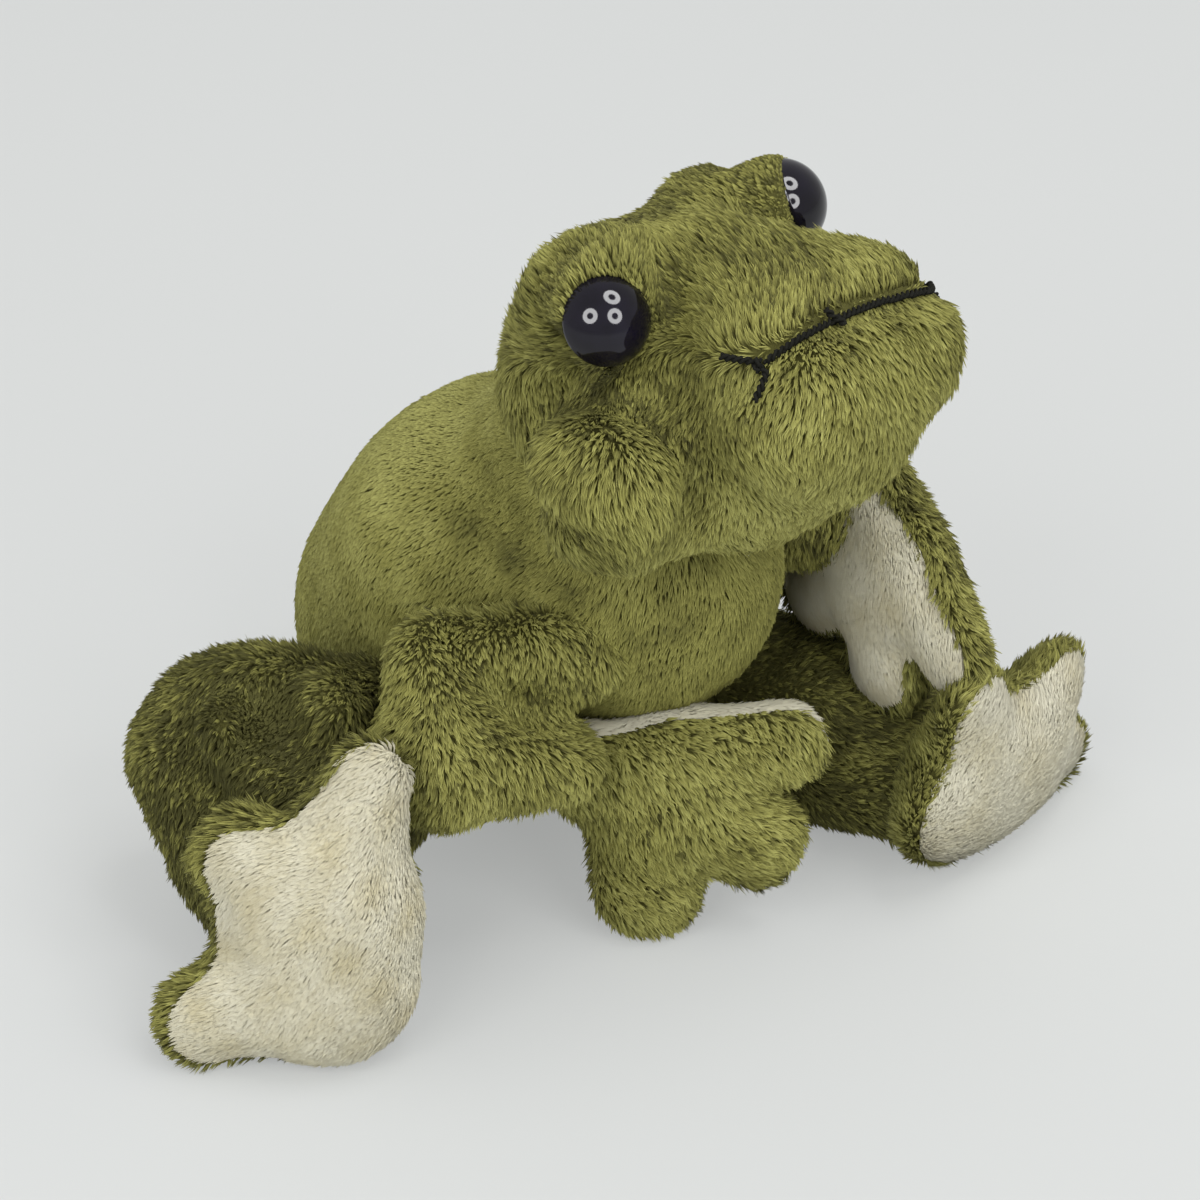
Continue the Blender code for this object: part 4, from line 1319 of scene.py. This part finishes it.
for number, (name, form) in enumerate(FORMS.items()):
    kind, _, side = name.partition("_")
    ending = f"_{side}" if side else ""
    seed = SEEDS_APART * number
    covered = [f"{kind}_cover{ending}", f"{kind}_stuffing{ending}"]
    if name not in SEAMS:
        pile = {"body": BODY_PILE, "head": HEAD_PILE}.get(name, LIMB_PILE)
        piles = grow(form, f"{name}_pile", open_skin(form), pile, seed)
        dress(f"{name}_skin", name, (form["points"], form["tris"]), "olive", covered, piles)
        continue
    piles = grow(form, f"{name}_pile", on_panel(form, -1.0), LIMB_PILE, seed)
    dress(f"{name}_skin", name, half_skin(form, -1.0), "olive", covered, piles)
    pale = "palm" if kind == "hand" else "sole"
    piles = grow(form, f"{pale}_{side}_pile", on_panel(form, 1.0), CREAM_PILE, seed + PANEL_SEED)
    dress(f"{pale}_{side}_skin", name, half_skin(form, 1.0), "cream", [f"{pale}_panel_{side}"], piles)


# Eyes

EYE_FACETS = 64
EYE_CURVE = ((EYE_DIAMETER / 2) ** 2 + EYE_DOME ** 2) / (2 * EYE_DOME)
EYE_EDGE = 0.0003
DOME_STEPS = 22


def eye_profile():
    """From the middle of the dome over its rounded edge and its back to the end of the shank."""
    radius = EYE_DIAMETER / 2
    widest = math.asin(radius / EYE_CURVE)
    top = EYE_BASE + EYE_DOME
    shank = EYE_SHANK_DIAMETER / 2
    profile = [
        (EYE_CURVE * math.sin(rise), top - EYE_CURVE * (1.0 - math.cos(rise)))
        for rise in np.linspace(0.0, widest, DOME_STEPS)
    ]
    return profile + [
        (radius + EYE_EDGE / 2, EYE_BASE - EYE_EDGE),
        (radius, EYE_BASE - 2 * EYE_EDGE),
        (radius - EYE_EDGE, -EYE_RIM + EYE_EDGE),
        (radius - 2 * EYE_EDGE, -EYE_RIM),
        (shank + EYE_EDGE, -EYE_RIM),
        (shank, -EYE_RIM - EYE_EDGE),
        (shank, -EYE_SHANK_LENGTH + EYE_EDGE),
        (shank - EYE_EDGE, -EYE_SHANK_LENGTH),
        (0.0, -EYE_SHANK_LENGTH),
    ]


def around(axis, count):
    """Directions at even steps round an axis."""
    across = axis.orthogonal().normalized()
    beside = axis.cross(across)
    turns = [2.0 * math.pi * step / count for step in range(count)]
    return [across * math.cos(turn) + beside * math.sin(turn) for turn in turns]


def between_rings(near, far, count):
    """The triangles between two closed rings of points, from the first index of each."""
    tris = []
    for corner in range(count):
        after = (corner + 1) % count
        tris.append((near + corner, far + corner, far + after))
        tris.append((near + corner, far + after, near + after))
    return tris


def turned(profile, seat, axis):
    """A solid of revolution about an axis: points and triangles."""
    points, tris = [seat + axis * profile[0][1]], []
    for radius, height in profile[1:-1]:
        points += [seat + axis * height + out * radius for out in around(axis, EYE_FACETS)]
    last = len(points)
    end = last - EYE_FACETS
    points.append(seat + axis * profile[-1][1])
    for ring in range(1, end, EYE_FACETS):
        tris += between_rings(ring, ring + EYE_FACETS, EYE_FACETS)
    for step in range(EYE_FACETS):
        after = (step + 1) % EYE_FACETS
        tris += [(0, 1 + step, 1 + after), (end + after, end + step, last)]
    return np.array(points), np.array(tris)


def turned_ring(corners, seat, axis):
    """A ring of revolution about an axis, from a closed profile: points and triangles."""
    points, tris = [], []
    for step, out in enumerate(around(axis, EYE_FACETS)):
        points += [seat + axis * height + out * radius for radius, height in corners]
        after = (step + 1) % EYE_FACETS
        tris += between_rings(step * len(corners), after * len(corners), len(corners))
    return np.array(points), np.array(tris)


WASHER_DIAMETER, WASHER_THICKNESS, WASHER_DEPTH = 0.0110, 0.0012, 0.0012
WASHER_TOP = -EYE_RIM - WASHER_DEPTH
WASHER_LOW = WASHER_TOP - WASHER_THICKNESS
WASHER_HOLE = EYE_SHANK_DIAMETER + 2 * EYE_EDGE
WASHER_CORNERS = (
    (WASHER_HOLE / 2, WASHER_LOW), (WASHER_DIAMETER / 2, WASHER_LOW),
    (WASHER_DIAMETER / 2, WASHER_TOP), (WASHER_HOLE / 2, WASHER_TOP),
)
for side, (seat, axis) in EYES.items():
    eye = add_mesh(f"glossy_eye_{side}", *turned(eye_profile(), seat, axis), "eye")
    washer = add_mesh(f"lock_washer_{side}", *turned_ring(WASHER_CORNERS, seat, axis), "washer")
    for piece, node, slot in ((eye, "eye", "eye_black"), (washer, "eye_washer", "washer_plastic")):
        stand_for(piece, "head", slot, f"{node}_{side}")


# Threads

STRAND_SIDES = 8
STRAND_STEP = 0.00025
TWIST_LENGTH = 0.0022
THREAD_RISE = 0.0013
STRAND_OFFSET = THREAD_DIAMETER / 4
STRAND_RADIUS = STRAND_OFFSET * 1.1
# A cross stitch: where it crosses its line, half its length, how it leans, and how high it lies
MOUTH_STITCH = (0.33, 0.0017)
CORNER_KNOT = (0.52, 0.0008)
STITCH_LEAN = 0.35
MOUTH_STITCH_RISE = THREAD_RISE * 1.5
CORNER_KNOT_RISE = THREAD_RISE * 1.4


def smooth_path(places, step):
    """Points at about even steps along a smooth curve through places."""
    ends = [2 * Vector(places[0]) - Vector(places[1])] + [Vector(place) for place in places]
    ends.append(2 * ends[-1] - ends[-2])
    path = []
    for before, start, end, after in zip(ends, ends[1:], ends[2:], ends[3:]):
        count = max(2, round((end - start).length / step))
        for number in range(count):
            share = number / count
            path.append(0.5 * (
                2 * start + (end - before) * share
                + (2 * before - 5 * start + 4 * end - after) * share ** 2
                + (3 * start - before - 3 * end + after) * share ** 3
            ))
    path.append(ends[-2])
    return path


def lay_on_head(path, rise):
    """Set a path on the head's skin. Returns its points and the skin's normals there."""
    laid, normals = [], []
    for place in path:
        found, _, index, _ = HEAD["tree"].find_nearest(place)
        corners = HEAD["tris"][index]
        normal = Vector(unit(HEAD["normals"][corners].sum(axis=0)))
        laid.append(found + normal * rise)
        normals.append(normal)
    return laid, normals


def wind(path, normals, phase):
    """The middle of a strand that winds about a path: places, each with the ways on, up and aside."""
    centres = []
    walked = 0.0
    for number, (place, normal) in enumerate(zip(path, normals)):
        before, after = path[max(number - 1, 0)], path[min(number + 1, len(path) - 1)]
        along = (after - before).normalized()
        beside = along.cross(normal).normalized()
        walked += (place - before).length
        turn = 2.0 * math.pi * walked / TWIST_LENGTH + phase
        out = normal * math.sin(turn) + beside * math.cos(turn)
        centres.append((place + out * STRAND_OFFSET, along, normal, beside))
    return centres


def strand(centres):
    """A closed tube round the middle of a strand: points and triangles."""
    points, tris = [], []
    for place, _, normal, beside in centres:
        for corner in range(STRAND_SIDES):
            turn = 2.0 * math.pi * corner / STRAND_SIDES
            points.append(place + (normal * math.sin(turn) + beside * math.cos(turn)) * STRAND_RADIUS)
    last = len(points) - STRAND_SIDES
    for ring in range(0, last, STRAND_SIDES):
        tris += between_rings(ring, ring + STRAND_SIDES, STRAND_SIDES)
    for (place, along, _, _), ring, sense in ((centres[0], 0, -1), (centres[-1], last, 1)):
        middle = len(points)
        points.append(place + along * STRAND_RADIUS * sense)
        for corner in range(STRAND_SIDES):
            pair = (ring + corner, ring + (corner + 1) % STRAND_SIDES)
            tris.append((middle, *pair[::-sense]))
    return points, tris


def twisted(lines):
    """Two strands wound about each of some lines on the head: points and triangles."""
    points, tris = [], []
    for line, rise in lines:
        path, normals = lay_on_head(smooth_path(line, STRAND_STEP), rise)
        for phase in (0.0, math.pi):
            more, faces = strand(wind(path, normals, phase))
            tris += [tuple(index + len(points) for index in face) for face in faces]
            points += more
    return np.array(points), np.array(tris)


def cross_stitch(line, share, half):
    """A short line across another at a share of its length."""
    path = smooth_path(line, STRAND_STEP)
    number = round(share * (len(path) - 1))
    along = (path[min(number + 1, len(path) - 1)] - path[max(number - 1, 0)]).normalized()
    _, normals = lay_on_head([path[number]], 0.0)
    beside = along.cross(normals[0]).normalized()
    lean = (beside + along * STITCH_LEAN).normalized()
    return [path[number] - lean * half, path[number], path[number] + lean * half]


def sew(name, lines, node):
    stand_for(add_mesh(name, *twisted(lines), "thread"), "head", "mouth_thread", node)


stitch = cross_stitch(MOUTH_LINE, *MOUTH_STITCH)
sew("mouth_stitching", [(MOUTH_LINE, THREAD_RISE), (stitch, MOUTH_STITCH_RISE)], "mouth_thread")
for side, line in CORNER_LINES.items():
    knot = cross_stitch(line, *CORNER_KNOT)
    lines = [(line, THREAD_RISE), (knot, CORNER_KNOT_RISE)]
    sew(f"corner_stitching_{side}", lines, f"mouth_corner_thread_{side}")


# The pouch of beans in the seat

POUCH_RAYS = (40, 24)
POUCH_CELL = 0.0016
POUCH_SWELL = 0.0012
POUCH_PINCH = 0.35


def make_pouch():
    low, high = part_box("seat_bean_bag")
    shares, tris = ball(POUCH_RAYS)
    pinch = 1.0 - POUCH_PINCH * np.abs(shares[:, 0] * shares[:, 1])[:, None]
    half = np.array(high - low) / 2 - POUCH_SWELL
    points = np.array((low + high) / 2) + shares * half * pinch
    points, tris = fill(points, tris, POUCH_CELL, POUCH_SWELL, lambda places: np.zeros(len(places)))
    pouch = add_mesh("bean_pouch", points, tris, "cotton")
    stand_for(pouch, "body", "bean_cloth", "seat_bean_bag")


make_pouch()


# Studio

FLOOR_COLOUR = colour(214, 216, 215)
FLOOR_HALF = 4.0
WHITE = (1.0, 1.0, 1.0, 1.0)
FLOOR_GLOW = 0.50
WORLD_LIGHT = 0.71
WORLD_SEEN = 0.67
LAMP_PIXELS = ((612, 297), (590, 316), (615, 316))
LAMP_DISTANCE = 1.1
LAMP_OUTER, LAMP_INNER = 0.34, 0.14
LAMP_LIGHT = 4.6
LAMP_GLEAM = 11.0
LAMP_FACETS = 48


def seen_rays(tree, share):
    """A share for rays from the camera and from gloss or glass, and 0 for the light on other things."""
    ray = tree.nodes.new("ShaderNodeLightPath")
    total = ray.outputs["Is Camera Ray"]
    for name in ("Is Glossy Ray", "Is Transmission Ray"):
        total = maths(tree, "MAXIMUM", total, ray.outputs[name])
    return maths(tree, "MULTIPLY", total, share)


def mix_shaders(tree, share, first, second, output):
    """Send a mix of two shaders, by a share, to an output."""
    mixed = tree.nodes.new("ShaderNodeMixShader")
    for source, target in zip((share, first.outputs[0], second.outputs[0]), mixed.inputs):
        tree.links.new(source, target)
    tree.links.new(mixed.outputs[0], tree.nodes[output].inputs["Surface"])


def add_stage(name, points, faces, material):
    """A piece of the studio, which isn't part of the frog."""
    mesh = bpy.data.meshes.new(name)
    mesh.from_pydata(points, [], faces)
    mesh.materials.append(material)
    add_object(name, mesh)


def make_floor():
    """A pale floor that keeps the shadow, softened where it is seen."""
    nodes = Nodes("studio_floor")
    nodes.put("Base Color", FLOOR_COLOUR)
    nodes.put("Roughness", 0.9)
    nodes.put("Specular IOR Level", 0.1)
    glow = nodes.add("ShaderNodeEmission")
    glow.inputs["Color"].default_value = FLOOR_COLOUR
    mix_shaders(nodes.tree, seen_rays(nodes.tree, FLOOR_GLOW), nodes.shader, glow, "Material Output")
    edge = FLOOR_HALF
    corners = [(-edge, -edge, 0.0), (edge, -edge, 0.0), (edge, edge, 0.0), (-edge, edge, 0.0)]
    add_stage("studio_floor", corners, [(0, 1, 2, 3)], nodes.material)


def make_world():
    """Even light from all sides. Where it is seen itself, it is as pale as the floor."""
    world = bpy.data.worlds.new("studio")
    bpy.context.scene.world = world
    world.use_nodes = True
    tree = world.node_tree
    light = tree.nodes["Background"]
    light.inputs["Color"].default_value = WHITE
    light.inputs["Strength"].default_value = WORLD_LIGHT
    seen = tree.nodes.new("ShaderNodeBackground")
    seen.inputs["Strength"].default_value = WORLD_SEEN
    mix_shaders(tree, seen_rays(tree, 1.0), light, seen, "World Output")


def thrown_back(pixel):
    """Where the near eye's dome throws back the ray through a pixel: a place and a direction."""
    seat, axis = EYES["right"]
    centre = seat + axis * (EYE_BASE + EYE_DOME - EYE_CURVE)
    ray = pixel_ray(pixel)
    nearest = ray.dot(centre - CAMERA_PLACE)
    gap = (centre - CAMERA_PLACE).length_squared - nearest ** 2
    place = CAMERA_PLACE + ray * (nearest - math.sqrt(EYE_CURVE ** 2 - gap))
    normal = (place - centre).normalized()
    return place, ray - 2.0 * ray.dot(normal) * normal


def make_lamps():
    """Three ring lamps, where their gleams show in the near eye, brighter in gloss than on cloth."""
    nodes = Nodes("ring_lamp")
    glow = nodes.add("ShaderNodeEmission")
    strength = maths(nodes.tree, "ADD", seen_rays(nodes.tree, LAMP_GLEAM), LAMP_LIGHT)
    nodes.link(strength, glow.inputs["Strength"])
    nodes.link(glow.outputs[0], nodes.tree.nodes["Material Output"].inputs["Surface"])
    for number, pixel in enumerate(LAMP_PIXELS):
        place, way = thrown_back(pixel)
        centre = place + way * LAMP_DISTANCE
        points, faces = [], []
        for step, out in enumerate(around(way, LAMP_FACETS)):
            points += [centre + out * LAMP_INNER, centre + out * LAMP_OUTER]
            after = 2 * ((step + 1) % LAMP_FACETS)
            faces.append((2 * step, 2 * step + 1, after + 1, after))
        add_stage(f"ring_lamp_{number + 1}", points, faces, nodes.material)


make_camera()
make_floor()
make_world()
make_lamps()
bpy.context.scene.view_settings.view_transform = "Standard"
